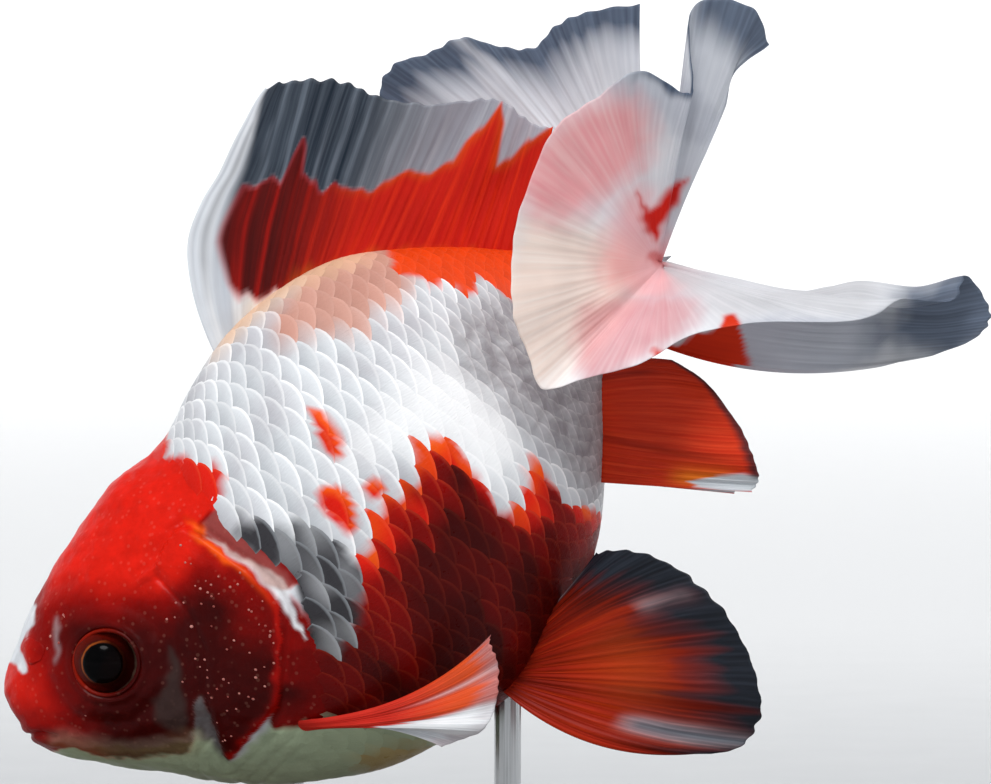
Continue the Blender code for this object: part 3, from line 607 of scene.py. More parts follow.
def buildSkin(material):
    u = np.concatenate([np.linspace(a, b, n, endpoint=b == lastStation) for a, b, n in skin["rings"]])
    u[0], u[-1] = 0.02, lastStation - 0.02
    angle = np.linspace(-math.pi, math.pi, skin["sides"], endpoint=False)
    angle = angle + 0.2 * np.sin(2 * angle)                           # closer lines on the flanks
    rows, columns = len(u), len(angle)
    uu, aa = np.meshgrid(u, angle, indexing="ij")
    flat = bodyPoints(uu.ravel(), aa.ravel(), skin["inset"])
    wrapped = flat.reshape(rows, columns, 3)
    wrapped = np.concatenate([wrapped[:, -2:], wrapped, wrapped[:, :2]], 1)
    normal = gridNormals(wrapped)[:, 2:-2].reshape(-1, 3)
    if np.sum(normal[:, 2] * flat[:, 2]) < 0:
        normal = -normal
    raised = flat + normal * relief(flat)[:, None]
    points = sinkEyes(raised)
    ends = np.array([flat[:columns].mean(0), flat[-columns:].mean(0)])
    points = np.concatenate([points, ends])
    marks, tints, warm = fleshMarks(np.concatenate([flat, ends]))
    quads = gridFaces(rows, columns, True)
    last = rows * columns
    caps = [hubFaces(last, 0, columns, True), hubFaces(last + 1, last - columns, columns)]
    sheet = np.stack([aa.ravel() / (2 * math.pi) + 0.5, uu.ravel() / lastStation], 1)
    sheet = np.concatenate([sheet, [[0.5, 0.0], [0.5, 1.0]]])
    groups, islands = [quads, *caps], []
    faces = np.concatenate([quads[:, :3], *caps])
    a, b, c = (points[faces[:, k]] for k in range(3))
    if np.sum(a * np.cross(b, c)) < 0:
        groups = [g[:, ::-1] for g in groups]
    for flank in (-1, 1):
        turn = np.linspace(0, 2 * math.pi, 72, endpoint=False)
        ring = np.stack([face["eye"][0] + face["eyeRadius"] * np.cos(turn),
                         face["eye"][1] + face["eyeRadius"] * 0.97 * np.sin(turn)], 1)
        depth = onSkin(raised, ring, flank)
        line = np.column_stack([ring, depth + flank * 0.12])
        outward = np.tile([0.0, 0.0, float(flank)], (72, 1))
        bead, beadFaces = ringIsland(line, outward, 0.34)
        islands.append((bead, [orientOut(bead, beadFaces)], 1.0))
        flap, flapFaces, flapCaps = nostrilFlap(raised, flank)
        turned = orientOut(flap, flapFaces)[0, 0] != flapFaces[0, 0]
        islands.append((flap, [g[:, ::-1] if turned else g for g in (flapFaces, *flapCaps)], 0.0))
    lid = np.zeros(len(points))
    for bead, beadFaces, isLid in islands:
        groups += [g + len(points) for g in beadFaces]
        share = fleshMarks(bead)
        marks = np.concatenate([marks, share[0]])
        tints = np.concatenate([tints, share[1]])
        warm = np.concatenate([warm, share[2]])
        lid = np.concatenate([lid, np.full(len(bead), isLid)])
        nearAngle = np.arctan2(bead[:, 2], bead[:, 1] + 12.0)
        nearStation = np.interp(bead[:, 0], [b[0] for b in body["stations"]], range(lastStation + 1))
        own = np.stack([nearAngle / (2 * math.pi) + 0.5, nearStation / lastStation], 1)
        sheet = np.concatenate([sheet, own])
        points = np.concatenate([points, bead])
    onLid = lid > 0.5
    # the lids stay red, in painted shade that is lighter on their upper side
    upperLid = step(-0.9, 0.9, (points[:, 1] - face["eye"][1] - points[:, 0] + face["eye"][0]) / 6.0)
    lidMarks = np.stack([np.ones(len(points)), 0.05 * upperLid, 0 * upperLid, 1.0 - 0.35 * upperLid], 1)
    marks[onLid] = lidMarks[onLid]
    obj = addMesh("goldfishSkin", place(points), groups, material)
    setField(obj.data, "marks", marks, "FLOAT_COLOR")
    setField(obj.data, "tints", tints, "FLOAT_COLOR")
    setField(obj.data, "warm", warm)
    unwrap(obj.data, sheet)
    return obj, raised.reshape(rows, columns, 3), u, angle


def unwrap(mesh, sheet):
    # The skin's own unwrap: round the body across, snout to tail up, with the seam under the belly
    corners = np.zeros(len(mesh.loops), np.int32)
    mesh.loops.foreach_get("vertex_index", corners)
    starts = np.zeros(len(mesh.polygons), np.int32)
    totals = np.zeros(len(mesh.polygons), np.int32)
    mesh.polygons.foreach_get("loop_start", starts)
    mesh.polygons.foreach_get("loop_total", totals)
    owner = np.repeat(np.arange(len(starts)), totals)
    at = sheet[corners].copy()
    high = np.zeros(len(starts))
    np.maximum.at(high, owner, at[:, 0])
    crossing = (high[owner] > 0.9) & (at[:, 0] < 0.1)
    at[crossing, 0] += 1.0
    layer = mesh.uv_layers.new(name="OFBake")
    layer.data.foreach_set("uv", at.astype(np.float32).ravel())


def nostrilFlap(surface, flank):
    # The small lobed flap over the nostril, standing up a little at its front edge
    turns, rings = 30, 7
    turn = np.linspace(0, 2 * math.pi, turns, endpoint=False)
    share = np.linspace(1.0 / rings, 1.0, rings)
    edge = 1 + 0.06 * np.cos(5 * turn + 0.6) + 0.10 * np.cos(2 * turn) + 0.08 * np.cos(3 * turn + 1.0)
    s = face["nostril"][0] + 1.55 * share[:, None] * (edge * np.cos(turn))
    h = face["nostril"][1] + 2.1 * share[:, None] * (edge * np.sin(turn))
    flat = np.stack([s.ravel(), h.ravel()], 1)
    depth = onSkin(surface, flat, flank)
    lean = 0.25 * step(1.0, -1.5, flat[:, 0] - face["nostril"][0])
    lift = (0.34 + lean) * (1 - np.repeat(share, turns) ** 3) + lean * 0.8
    top = np.column_stack([flat, depth + flank * lift])
    under = np.column_stack([flat[-turns:], depth[-turns:] - flank * 0.4])
    hub = np.array([[*face["nostril"], np.mean(depth[:turns]) + flank * 0.36],
                    [*face["nostril"], np.mean(depth[:turns]) - flank * 0.6]])
    points = np.concatenate([top, under, hub])
    last = (rings + 1) * turns
    caps = [hubFaces(last, 0, turns, True), hubFaces(last + 1, rings * turns, turns)]
    return points, gridFaces(rings + 1, turns, True), caps


def paintSkin():
    # Painted resin cast with a satin clear coat: wet-looking skin, its red deepest low on the cheek in
    # painted shade
    material, tree, at = newMaterial("painted resin skin")
    cloud = addNode(tree, "TexNoise", {"Vector": at, "Scale": 160.0, "Detail": 5.0})      # 6 mm
    under = addNode(tree, "ValToRGB", {0: cloud}, stops=((0.3, "#c9cdd4"), (0.7, "#eef0f3")))
    colour, red = fleshColour(tree, at, under)[:2]
    blotch = addNode(tree, "TexNoise", {"Vector": at, "Scale": 330.0, "Detail": 6.0, "Roughness": 0.62})
    shade = addNode(tree, "MapRange", {0: blotch, 1: 0.25, 2: 0.75, 3: 0.8, 4: 1.12})
    grey = addNode(tree, "CombineColor", {0: shade, 1: shade, 2: shade})
    colour = addNode(tree, "Mix", (1.0, colour, grey), data_type="RGBA", blend_type="MULTIPLY")
    speck = addNode(tree, "TexVoronoi", {"Vector": at, "Scale": 700.0}).outputs["Distance"]
    dots = addNode(tree, "MapRange", {0: speck, 1: 0.24, 2: 0.14, 3: 0.0, 4: 0.045})
    colour = addNode(tree, "Mix", (addNode(tree, "Math MULTIPLY", (dots, red)), colour,
                                   toLinear("#ffb8a0")), data_type="RGBA")
    fine = addNode(tree, "TexNoise", {"Vector": at, "Scale": 1400.0, "Detail": 3.0})      # 0.7 mm
    height = addNode(tree, "Math ADD", (fine, addNode(tree, "Math MULTIPLY", (cloud, 2.0))))
    rough = addNode(tree, "MapRange", {0: blotch, 1: 0.3, 2: 0.7, 3: 0.34, 4: 0.5})
    return finishMaterial(material, colour, rough, (height, 0.00018, 0.5), {
        "IOR": 1.45, "Specular IOR Level": 0.06, "Coat Weight": 0.07, "Coat Roughness": 0.25})


skinObj, skinGrid, skinStations, skinAngles = buildSkin(paintSkin())
print("skin:", len(skinObj.data.polygons), "faces")


# scales: plates set on the skin's unwrap in shingled rows, smaller towards the tail

scales = {
    "rows": 28,                      # rows on each side, from back to belly
    "spacing": 1.03,                 # step along a row, as a share of the gap between rows
    "overlap": 1.14,                 # half width of a plate in row gaps
    "lift": 0.125,                   # how far the free edge stands off the skin, mm
    "patch": 0.0015,                 # half width of a plate's patch on the bake map
    "seed": 7,
    # h and the s where the first scales begin, behind the head
    "front": ((-46, 38), (-34, 36), (-26, 38.5), (-20, 42), (-14, 45), (-10, 46.4), (-4, 45.6), (4, 42.2),
              (8, 41.0), (14, 39.4), (20, 37), (30, 36)),
    "end": 114.0,
}


def partObject(name, points, faces, local, sharp):
    mesh = bpy.data.meshes.new(name)
    mesh.from_pydata(points.tolist(), [], faces)
    setField(mesh, "plate", local, "FLOAT_VECTOR")
    mesh.shade_smooth()
    for edge in mesh.edges:
        edge.use_edge_sharp = edge.vertices[0] in sharp and edge.vertices[1] in sharp
    obj = bpy.data.objects.new(name, mesh)
    bpy.context.scene.collection.objects.link(obj)
    return obj


def scalePlate():
    # One closed plate, with x across and y along the fish in units of its own size and z in heights
    across, along = 8, 7
    p, q = np.meshgrid(np.linspace(-1, 1, across), np.linspace(0, 1, along), indexing="ij")
    x = p * (0.62 + 0.38 * np.sin(np.minimum(q * 1.25, 1.0) * math.pi / 2))
    y = -0.55 + (1.55 - 0.50 * np.abs(p) ** 2.1) * q
    rooted = 0.33 + 0.42 * p ** 2                                     # the root end dips under the skin
    z = step(0.15, 0.95, q) - 3.4 * (1 - np.minimum(q / rooted, 1)) ** 1.5 - 0.30 * p ** 2 * (0.3 + q)
    points = np.stack([x, y, z], -1).reshape(-1, 3)
    last = across * along
    loop = [*range(0, along), *range(2 * along - 1, last, along),
            *range(last - 2, last - along - 1, -1), *range(last - 2 * along, 0, -along)]
    hub = len(points)
    points = np.concatenate([points, [[0.0, -0.1, -4.4]]])
    faces = gridFaces(across, along, False)[:, ::-1].tolist()
    faces += [[a, b, hub] for a, b in zip(loop, loop[1:] + loop[:1])]
    local = np.concatenate([np.stack([p.ravel(), q.ravel(), 0 * p.ravel()], 1), [[0, 0.4, 0]]])
    return partObject("scalePlate", points, faces, local, set(loop))


def starBead():
    # One closed round bead for a breeding star, with its centre at the skin
    turns = 8
    turn = np.linspace(0, 2 * math.pi, turns, endpoint=False)
    rings = [np.stack([r * np.cos(turn), r * np.sin(turn), np.full(turns, z)], 1)
             for r, z in ((0.5, 0.82), (0.87, 0.45), (1.0, -0.1))]
    points = np.concatenate([*rings, [[0, 0, 1.0], [0, 0, -0.8]]])
    last = 3 * turns
    faces = gridFaces(3, turns, True).tolist() + hubFaces(last, 0, turns, True).tolist()
    faces += hubFaces(last + 1, 2 * turns, turns).tolist()
    return partObject("starBead", points, faces, points * [1, 1, 0], set())


def coverTree():
    # Seeds lie on the unwrap; each gets a plate, which is then wrapped onto the skin
    tree = bpy.data.node_groups.new("scaleCover", "GeometryNodeTree")
    for name, kind in (("Seeds", "Geometry"), ("Plate", "Object"), ("Skin", "Object"), ("Height", "Float"),
                       ("Patch", "Float"), ("Uneven", "Float"), ("Seed", "Int"), ("Finish", "Material")):
        tree.interface.new_socket(name=name, in_out="INPUT", socket_type="NodeSocket" + kind)
    tree.interface.new_socket(name="Cover", in_out="OUTPUT", socket_type="NodeSocketGeometry")
    given = addNode(tree, "NodeGroupInput").outputs
    plate = addNode(tree, "GeometryNodeObjectInfo", {"Object": given["Plate"]}).outputs["Geometry"]
    surface = addNode(tree, "GeometryNodeObjectInfo", {"Object": given["Skin"]}).outputs["Geometry"]
    size, sheet, root, local = (
        addNode(tree, "GeometryNodeInputNamedAttribute", {"Name": name}, data_type="FLOAT_VECTOR")
        for name in ("size", "OFBake", "rootUv", "plate"))
    uneven = addNode(tree, "FunctionNodeRandomValue", {"Seed": given["Seed"]}, data_type="FLOAT")
    spread = addNode(tree, "Math MULTIPLY", (addNode(tree, "Math SUBTRACT", (uneven.outputs[1], 0.5)),
                                             given["Uneven"]))
    factor = addNode(tree, "Math ADD", (spread, 1.0))
    scaled = addNode(tree, "VectorMath SCALE", (size, factor))
    placed = addNode(tree, "GeometryNodeInstanceOnPoints",
                     {"Points": given["Seeds"], "Instance": plate, "Scale": scaled})
    real = addNode(tree, "GeometryNodeRealizeInstances", {0: placed})
    position = addNode(tree, "GeometryNodeInputPosition")
    x, y, z = addNode(tree, "SeparateXYZ", {0: position}).outputs
    at = addNode(tree, "CombineXYZ", {0: addNode(tree, "Math FRACT", [x]), 1: y})
    sample = {"Mesh": surface, "Source UV Map": sheet, "Sample UV": at}
    onSurface, away = (
        addNode(tree, "GeometryNodeSampleUVSurface", {**sample, "Value": value}, data_type="FLOAT_VECTOR")
        for value in (position, addNode(tree, "GeometryNodeInputNormal")))
    height = addNode(tree, "Math MULTIPLY", (addNode(tree, "Math MULTIPLY", (z, given["Height"])), mm))
    raised = addNode(tree, "VectorMath SCALE", (away, height))
    spot = addNode(tree, "VectorMath ADD", (onSurface, raised))
    moved = addNode(tree, "GeometryNodeSetPosition", {"Geometry": real, "Position": spot})
    small = addNode(tree, "VectorMath SCALE", (local, given["Patch"]))
    patch = addNode(tree, "VectorMath ADD", (root, small))
    named = addNode(tree, "GeometryNodeStoreNamedAttribute", {
        "Geometry": moved, "Name": "OFBake", "Value": patch}, data_type="FLOAT2", domain="CORNER")
    again = addNode(tree, "GeometryNodeRealizeInstances", {0: named})
    dressed = addNode(tree, "GeometryNodeSetMaterial", {"Geometry": again, "Material": given["Finish"]})
    addNode(tree, "NodeGroupOutput", {"Cover": dressed})
    return tree


def cover(tree, name, seeds, fields, plate, finish, uneven):
    # Runs the tree over the seeds and returns the result as a plain mesh
    mesh = bpy.data.meshes.new(name)
    mesh.from_pydata(seeds.tolist(), [], [])
    for key, (values, kind) in fields.items():
        setField(mesh, key, values, kind)
    obj = bpy.data.objects.new(name, mesh)
    bpy.context.scene.collection.objects.link(obj)
    modifier = obj.modifiers.new("cover", "NODES")
    modifier.node_group = tree
    known = {item.name: item.identifier for item in tree.interface.items_tree if item.in_out == "INPUT"}
    for key, value in (("Plate", plate), ("Skin", skinObj), ("Height", 1.0), ("Patch", scales["patch"]),
                       ("Uneven", uneven), ("Seed", scales["seed"]), ("Finish", finish)):
        modifier[known[key]] = value
    graph = bpy.context.evaluated_depsgraph_get()
    made = bpy.data.meshes.new_from_object(obj.evaluated_get(graph), preserve_all_data_layers=True,
                                           depsgraph=graph)
    obj.modifiers.clear()
    obj.data = made
    for key in ("size", "rootUv"):
        if key in made.attributes:
            made.attributes.remove(made.attributes[key])
    return obj


def gridAt(u, angle):
    # Places on the raised skin at stations u and angles
    i = np.interp(u, skinStations, np.arange(len(skinStations)))
    turned = (np.asarray(angle) + math.pi) % (2 * math.pi) - math.pi
    j = np.interp(turned, [*skinAngles, math.pi], np.arange(len(skinAngles) + 1))
    n = len(skinAngles)
    i0, j0 = np.minimum(i.astype(int), len(skinStations) - 2), np.minimum(j.astype(int), n - 1)
    fi, fj = (i - i0)[:, None], (j - j0)[:, None]
    corner = [skinGrid[i0 + a, (j0 + b) % n] for a, b in ((0, 0), (0, 1), (1, 0), (1, 1))]
    total = corner[0] * (1 - fi) * (1 - fj) + corner[1] * (1 - fi) * fj
    return total + corner[2] * fi * (1 - fj) + corner[3] * fi * fj


def gaps(u, angle):
    # Millimetres for one whole unit of the unwrap, across and along, at stations u and angles
    across = np.linalg.norm(gridAt(u, angle + 0.02) - gridAt(u, angle - 0.02), axis=1)
    along = np.linalg.norm(gridAt(u + 0.06, angle) - gridAt(u - 0.06, angle), axis=1)
    return across / (0.04 / (2 * math.pi)), along / (0.12 / lastStation)


def unplace(points):
    # From the part's frame in metres back to s, h and y in millimetres
    x, y, z = points.T / mm
    x, z = x - body["snout"][0], z - body["snout"][1]
    s = x * math.cos(pitch) + z * math.sin(pitch)
    return np.stack([s, z * math.cos(pitch) - x * math.sin(pitch), y - swing(s)], 1)


def markScales(mesh):
    # Markings half by whole scales and half by place, so that their edges run along the scales
    points = np.zeros(3 * len(mesh.vertices), np.float32)
    centre = np.zeros(3 * len(mesh.vertices), np.float32)
    mesh.vertices.foreach_get("co", points)
    mesh.attributes["centre"].data.foreach_get("vector", centre)
    own = unplace(points.reshape(-1, 3).astype(float))
    at = 0.42 * own + 0.58 * centre.reshape(-1, 3)
    marks, tints, warm = fleshMarks(at, edge=1.6, own=own)
    setField(mesh, "marks", marks, "FLOAT_COLOR")
    setField(mesh, "tints", tints, "FLOAT_COLOR")
    setField(mesh, "warm", warm)
    mesh.attributes.remove(mesh.attributes["centre"])


def scaleSeeds():
    rng = np.random.default_rng(scales["seed"])
    rows = 2 * scales["rows"]
    stations, u = [], 5.6
    while u < 17.3:                                     # columns keep pace with the gap between rows
        stations.append(u)
        ring = np.linspace(-math.pi, math.pi, 32, endpoint=False)
        across, along = gaps(np.full(32, u), ring)
        flank = np.abs(np.sin(ring)) > 0.6
        gap = across.mean() / rows
        u += scales["spacing"] * gap / along[flank].mean() * lastStation / 2
    half = np.array(stations)
    seeds = []
    for row in range(rows):
        angle = (row + 0.5) / rows * 2 * math.pi - math.pi
        own = half[row % 2::2]
        seeds.append(np.stack([own, np.full(len(own), angle)], 1))
    seeds = np.concatenate(seeds)
    u, angle = seeds.T
    across, along = gaps(u, angle)
    nextGap = np.interp(u, half[:-2], half[2:] - half[:-2])
    size = np.stack([np.full(len(u), scales["overlap"] / rows), nextGap / lastStation, np.ones(len(u))], 1)
    width = across / rows
    length = size[:, 1] * along
    tip = gridAt(np.minimum(u + 0.5 * nextGap, 17.9), angle)
    middle = gridAt(u, angle)
    front = np.transpose(scales["front"])
    keep = (middle[:, 0] > np.interp(middle[:, 1], *front)) & (tip[:, 0] < scales["end"])
    settled = step(0.0, 10.0, tip[:, 0] - np.interp(tip[:, 1], *front))
    size[:, 2] = scales["lift"] * np.clip(np.minimum(width, length) / 3.0, 0.4, 1.1) * (0.6 + 0.4 * settled)
    return u[keep], angle[keep], size[keep], tip[keep], rng.uniform(0, 1, keep.sum())


def paintScales():
    # Pearl lacquer over each plate: greyer and in painted shade where one lies under the next, white along
    # its free edge
    material, tree, at = newMaterial("pearl lacquered scales")
    plate = addNode(tree, "Attribute", attribute_name="plate").outputs["Vector"]
    tone = addNode(tree, "Attribute", attribute_name="tone").outputs["Fac"]
    across, along, _ = addNode(tree, "SeparateXYZ", {0: plate}).outputs
    rimIn = addNode(tree, "MapRange", {0: along, 1: 0.88, 2: 0.955})
    sides = addNode(tree, "Math ABSOLUTE", [across])
    sides = addNode(tree, "MapRange", {0: sides, 1: 0.93, 2: 1.0, 4: 0.7})
    rim = addNode(tree, "Math MAXIMUM", (rimIn, sides))
    base = addNode(tree, "ValToRGB", {0: along}, stops=((0.4, "#c4c9cf"), (0.66, "#ced2d7"),
                                                        (0.86, "#d8dce0")))
    cloud = addNode(tree, "TexNoise", {"Vector": at, "Scale": 120.0, "Detail": 3.0})
    hazy = addNode(tree, "MapRange", {0: cloud, 1: 0.42, 2: 0.68, 3: 0.0, 4: 0.5})
    base = addNode(tree, "Mix", (hazy, base, toLinear("#b2acb4")), data_type="RGBA")
    edged = addNode(tree, "Math MULTIPLY", (rim, addNode(tree, "Math MULTIPLY_ADD", (tone, 0.55, 0.42))))
    plain = addNode(tree, "Mix", (edged, base, toLinear("#fdfdfe")), data_type="RGBA")
    plain = addNode(tree, "Mix", (addNode(tree, "Math MULTIPLY", (tone, 0.25)), plain,
                                  toLinear("#f4f6f8")), data_type="RGBA")
    colour, red, shadeAndMaroon, slate = fleshColour(tree, at, plain)
    slateRim = addNode(tree, "Math MULTIPLY", (addNode(tree, "Math MULTIPLY", (slate, rim)),
                                               addNode(tree, "Math SUBTRACT", (0.7, red), use_clamp=True)))
    colour = addNode(tree, "Mix", (slateRim, colour, toLinear("#8f9499")), data_type="RGBA")
    # painted shade, darker towards the plate's root where it lies under the next plate, varied a little by
    # each scale's tone
    rootShade = addNode(tree, "MapRange", {0: along, 1: 0.4, 2: 0.85, 3: 0.88, 4: 1.0})
    lift = addNode(tree, "Math MULTIPLY_ADD", (tone, 0.16, 0.9))
    rootShade = addNode(tree, "Math MULTIPLY", (rootShade, lift))
    grey = addNode(tree, "CombineColor", {0: rootShade, 1: rootShade, 2: rootShade})
    # less of the painted root shade where the painted highlight lies
    tints = addNode(tree, "Attribute", attribute_name="tints").outputs["Color"]
    highlightAndMembrane = addNode(tree, "SeparateColor", {0: tints}).outputs[2]
    colour = addNode(tree, "Mix", (addNode(tree, "Math MULTIPLY_ADD", (highlightAndMembrane, -0.7, 0.9)), colour, grey),
                     data_type="RGBA", blend_type="MULTIPLY")
    redRim = addNode(tree, "Math MULTIPLY_ADD", (shadeAndMaroon, -0.7, 0.8))
    redRim = addNode(tree, "Math MULTIPLY", (addNode(tree, "Math MULTIPLY", (rim, red)), redRim))
    lighter = addNode(tree, "Mix", (0.3, colour, toLinear("#f4603a")), data_type="RGBA")
    colour = addNode(tree, "Mix", (redRim, colour, lighter), data_type="RGBA")
    fanned = addNode(tree, "CombineXYZ", {0: addNode(tree, "Math MULTIPLY", (across, 9.0)),
                                          1: addNode(tree, "Math MULTIPLY", (along, 1.4)), 2: tone})
    ribs = addNode(tree, "TexNoise", {"Vector": fanned, "Scale": 2.2, "Detail": 2.0})
    grain = addNode(tree, "TexNoise", {"Vector": at, "Scale": 900.0, "Detail": 3.0})
    height = addNode(tree, "Math ADD", (addNode(tree, "Math MULTIPLY", (ribs, 0.9)),
                                        addNode(tree, "Math MULTIPLY", (grain, 0.5))))
    rough = addNode(tree, "MapRange", {0: grain, 1: 0.3, 2: 0.7, 3: 0.26, 4: 0.4})
    return finishMaterial(material, colour, rough, (height, 0.00016, 0.6), {
        "IOR": 1.5, "Specular IOR Level": 0.08, "Coat Weight": 0.06, "Coat Roughness": 0.25})


scaleTree = coverTree()
seedU, seedAngle, seedSize, seedTip, seedTone = scaleSeeds()
seedPlace = np.stack([seedAngle / (2 * math.pi) + 0.5, seedU / lastStation, np.zeros(len(seedU))], 1)
plate = scalePlate()
scaleFinish = paintScales()
scaleObjs = []
for name, half in (("goldfishScalesLeft", seedTip[:, 2] <= 0), ("goldfishScalesRight", seedTip[:, 2] > 0)):
    coat = cover(scaleTree, name, seedPlace[half], {
        "size": (seedSize[half], "FLOAT_VECTOR"), "rootUv": (seedPlace[half], "FLOAT_VECTOR"),
        "tone": (seedTone[half], "FLOAT"), "centre": (seedTip[half], "FLOAT_VECTOR"),
    }, plate, scaleFinish, 0.0)
    markScales(coat.data)
    scaleObjs.append(coat)
    print(name, "plates:", half.sum(), "faces:", len(coat.data.polygons))


# breeding stars: the small white beads over the gill covers and cheeks

stars = {
    "tries": 5200,
    "share": 0.085,                  # of the tries that take where the stars stand thickest
    "size": (0.13, 0.24),            # radius, mm
    "thinly": 0.17,                  # how thick they stand over cheek and forehead, where 1 is full
    "cluster": (35.0, -2.6),         # s and h of the thickest group, high on the gill cover
    "clusterReach": 2.6,
    "seed": 12,
}


def starSeeds():
    rng = np.random.default_rng(stars["seed"])
    u = rng.uniform(3.0, 10.5, stars["tries"])
    angle = rng.uniform(0.22, 0.86, stars["tries"]) * math.pi * rng.choice((-1, 1), stars["tries"])
    at = gridAt(u, angle)
    s, h = at[:, 0], at[:, 1]
    edge = toLine(at, face["gillRear"])[0]
    cover = insideOf(at, [*face["gillRear"], (24, -20), (27, -6), (30, 3.5)], rounded=False)
    thick = step(0.4, 1.5, cover) * (0.75 + 0.25 * mottle(at, 7, 33))
    thick = np.maximum(thick, 0.5 * bump(edge, 1.4, 0.9) * (cover > 0.4))
    gap = np.hypot(s - face["eye"][0], h - face["eye"][1])
    thick = np.maximum(thick, stars["thinly"] * step(6.0, 8.0, gap) * step(40, 36, s) * step(14, 7, h)
                       * step(-20, -15, h))
    cluster = np.linalg.norm(at[:, :2] - stars["cluster"], axis=1)
    thick = np.maximum(thick, 2.2 * bump(cluster, 0, stars["clusterReach"]))
    shoulder = step(47, 50, s) * step(58, 53, s) * step(0, -4, h)
    thick = np.maximum(thick, 0.3 * shoulder * step(-24, -20, h))
    keep = rng.uniform(0, 1, len(u)) < thick * stars["share"] * (1 + 2 * (cover > 0))
    u, angle = u[keep], angle[keep]
    across, along = gaps(u, angle)
    radius = rng.uniform(*stars["size"], len(u))
    size = np.stack([radius / across, radius / along, 0.6 * radius], 1)
    return np.stack([angle / (2 * math.pi) + 0.5, u / lastStation, 0 * u], 1), size


def paintStars():
    # Dabs of pale gloss enamel, a little uneven
    material, tree, at = newMaterial("pale enamel dots")
    spot = addNode(tree, "TexNoise", {"Vector": at, "Scale": 500.0, "Detail": 1.0})
    tone = addNode(tree, "ValToRGB", {0: spot}, stops=((0.35, "#983a30"), (0.65, "#c9857a")))
    rough = addNode(tree, "MapRange", {0: spot, 3: 0.3, 4: 0.45})
    return finishMaterial(material, tone, rough)


starPlace, starSize = starSeeds()
bead = starBead()
starsObj = cover(scaleTree, "goldfishStars", starPlace, {
    "size": (starSize, "FLOAT_VECTOR"), "rootUv": (starPlace, "FLOAT_VECTOR")}, bead, paintStars(), 0.3)
print("breeding stars:", len(starPlace))


# fins: two-sided pleated sheets on the same rays as in the part

fins = {
    # root, tip and bow of each main ray
    "dorsal": (((54.0, 24.5, 0), (82.0, 54.4, 0), 7.0), ((60.5, 26.0, 0), (87.0, 52.6, 0), 1.2),
               ((67.0, 26.4, 0), (92.5, 48.6, 0), 0.6), ((73.0, 26.0, 0), (95.5, 43.9, 0), 0),
               ((79.0, 24.4, 0), (101.0, 39.2, 0), 0), ((85.5, 21.6, 0), (107.7, 35.6, 0), 0),
               ((91.0, 17.8, 0), (110.9, 33.1, 0), 0), ((95.5, 14.2, 0), (112.5, 28.4, 0), 0),
               ((99.5, 10.4, 0), (114.8, 26.0, 0), 0)),
    "pectoral": (((34.6, -26.0, 17.4), (66.7, -30.9, 27), -3.4),
                 ((34.6, -26.5, 17.2), (65.5, -34.4, 28), -2.4),
                 ((34.6, -27.0, 16.9), (62.7, -38.9, 28), -1.2),
                 ((34.5, -27.5, 16.6), (58.5, -41.9, 27), 0.6),
                 ((34.4, -28.0, 16.2), (51.7, -41.0, 24), 1.9)),
    "pelvic": (((69.5, -35.6, 6), (85.7, -30.3, 11), -0.3), ((68.4, -36.6, 6.6), (91.9, -33.8, 16), 0.8),
               ((67.3, -37.6, 7), (96.2, -41.7, 20), 1.2), ((66.2, -38.6, 7), (97.2, -51.8, 22), 0.6),
               ((65.1, -39.4, 7), (94.4, -61.4, 22), 0), ((64.0, -40.0, 7), (88.3, -65.2, 20), -1.4),
               ((62.8, -40.4, 7), (81.1, -62.2, 17), -3.0)),
    "anal": (((89.6, -20.6, 2.2), (110.1, -34.9, 12), 0), ((92.0, -18.0, 2.2), (112.2, -33.5, 13), -0.4),
             ((94.4, -14.8, 2.2), (113.6, -29.1, 13), -0.4), ((96.2, -11.6, 2.2), (113.9, -22.8, 12), 0.6),
             ((97.4, -8.2, 2.2), (113.1, -17.0, 10), 1.2), ((98.0, -5.8, 2.2), (110.9, -12.3, 8), 0.8)),
    # share of its sideways reach by mid-ray, real rays, thickness at root and margin, points across and
    # along, height of the pleats, how ragged the margin is, where on its rays the sheet starts, and its
    # ripple; sizes in mm
    "dorsalForm": {"flare": 0.5, "rays": 19, "rootThick": 1.1, "edgeThick": 0.20, "across": 330,
                   "along": 60, "pleat": 0.07, "ragged": 0.012, "start": -0.1, "ripple": 0.5},
    "pectoralForm": {"flare": 0.55, "rays": 15, "rootThick": 0.8, "edgeThick": 0.16, "across": 170,
                     "along": 64, "pleat": 0.035, "ragged": 0.006, "start": -0.12, "ripple": 0.35},
    "pelvicForm": {"flare": 0.6, "rays": 17, "rootThick": 0.9, "edgeThick": 0.18, "across": 230,
                   "along": 70, "pleat": 0.08, "ragged": 0.014, "start": -0.12, "ripple": 0.35},
    "analForm": {"flare": 0.55, "rays": 14, "rootThick": 0.8, "edgeThick": 0.18, "across": 200,
                 "along": 56, "pleat": 0.06, "ragged": 0.006, "start": -0.12, "ripple": 0.35},
    "tailForm": {"flare": 0.62, "rays": 52, "rootThick": 0.9, "edgeThick": 0.18, "across": 560,
                 "along": 72, "pleat": 0.035, "ragged": 0.006, "start": -0.03, "ripple": 0.35},
    # how far the leading edge leaves its even curve, at each share of its length
    "dorsalEdge": ((0, 0), (0.1, 0.3), (0.32, 0.7), (0.46, 0.7), (0.6, -0.6), (0.7, -1.7), (0.86, -1.2),
                   (1, 0)),
    "tailEdge": ((0, 0), (0.5, 0.3), (0.7, 0.9), (0.82, 2.2), (0.9, 1.6), (1, 0)),
    "foldEdge": ((0, 0), (0.24, -0.8), (0.49, -2.0), (0.66, -0.4), (0.85, -1.4), (1, 0)),
    "rightReach": 0.93,
    "rightDrop": (-1.0, -1.6),
}

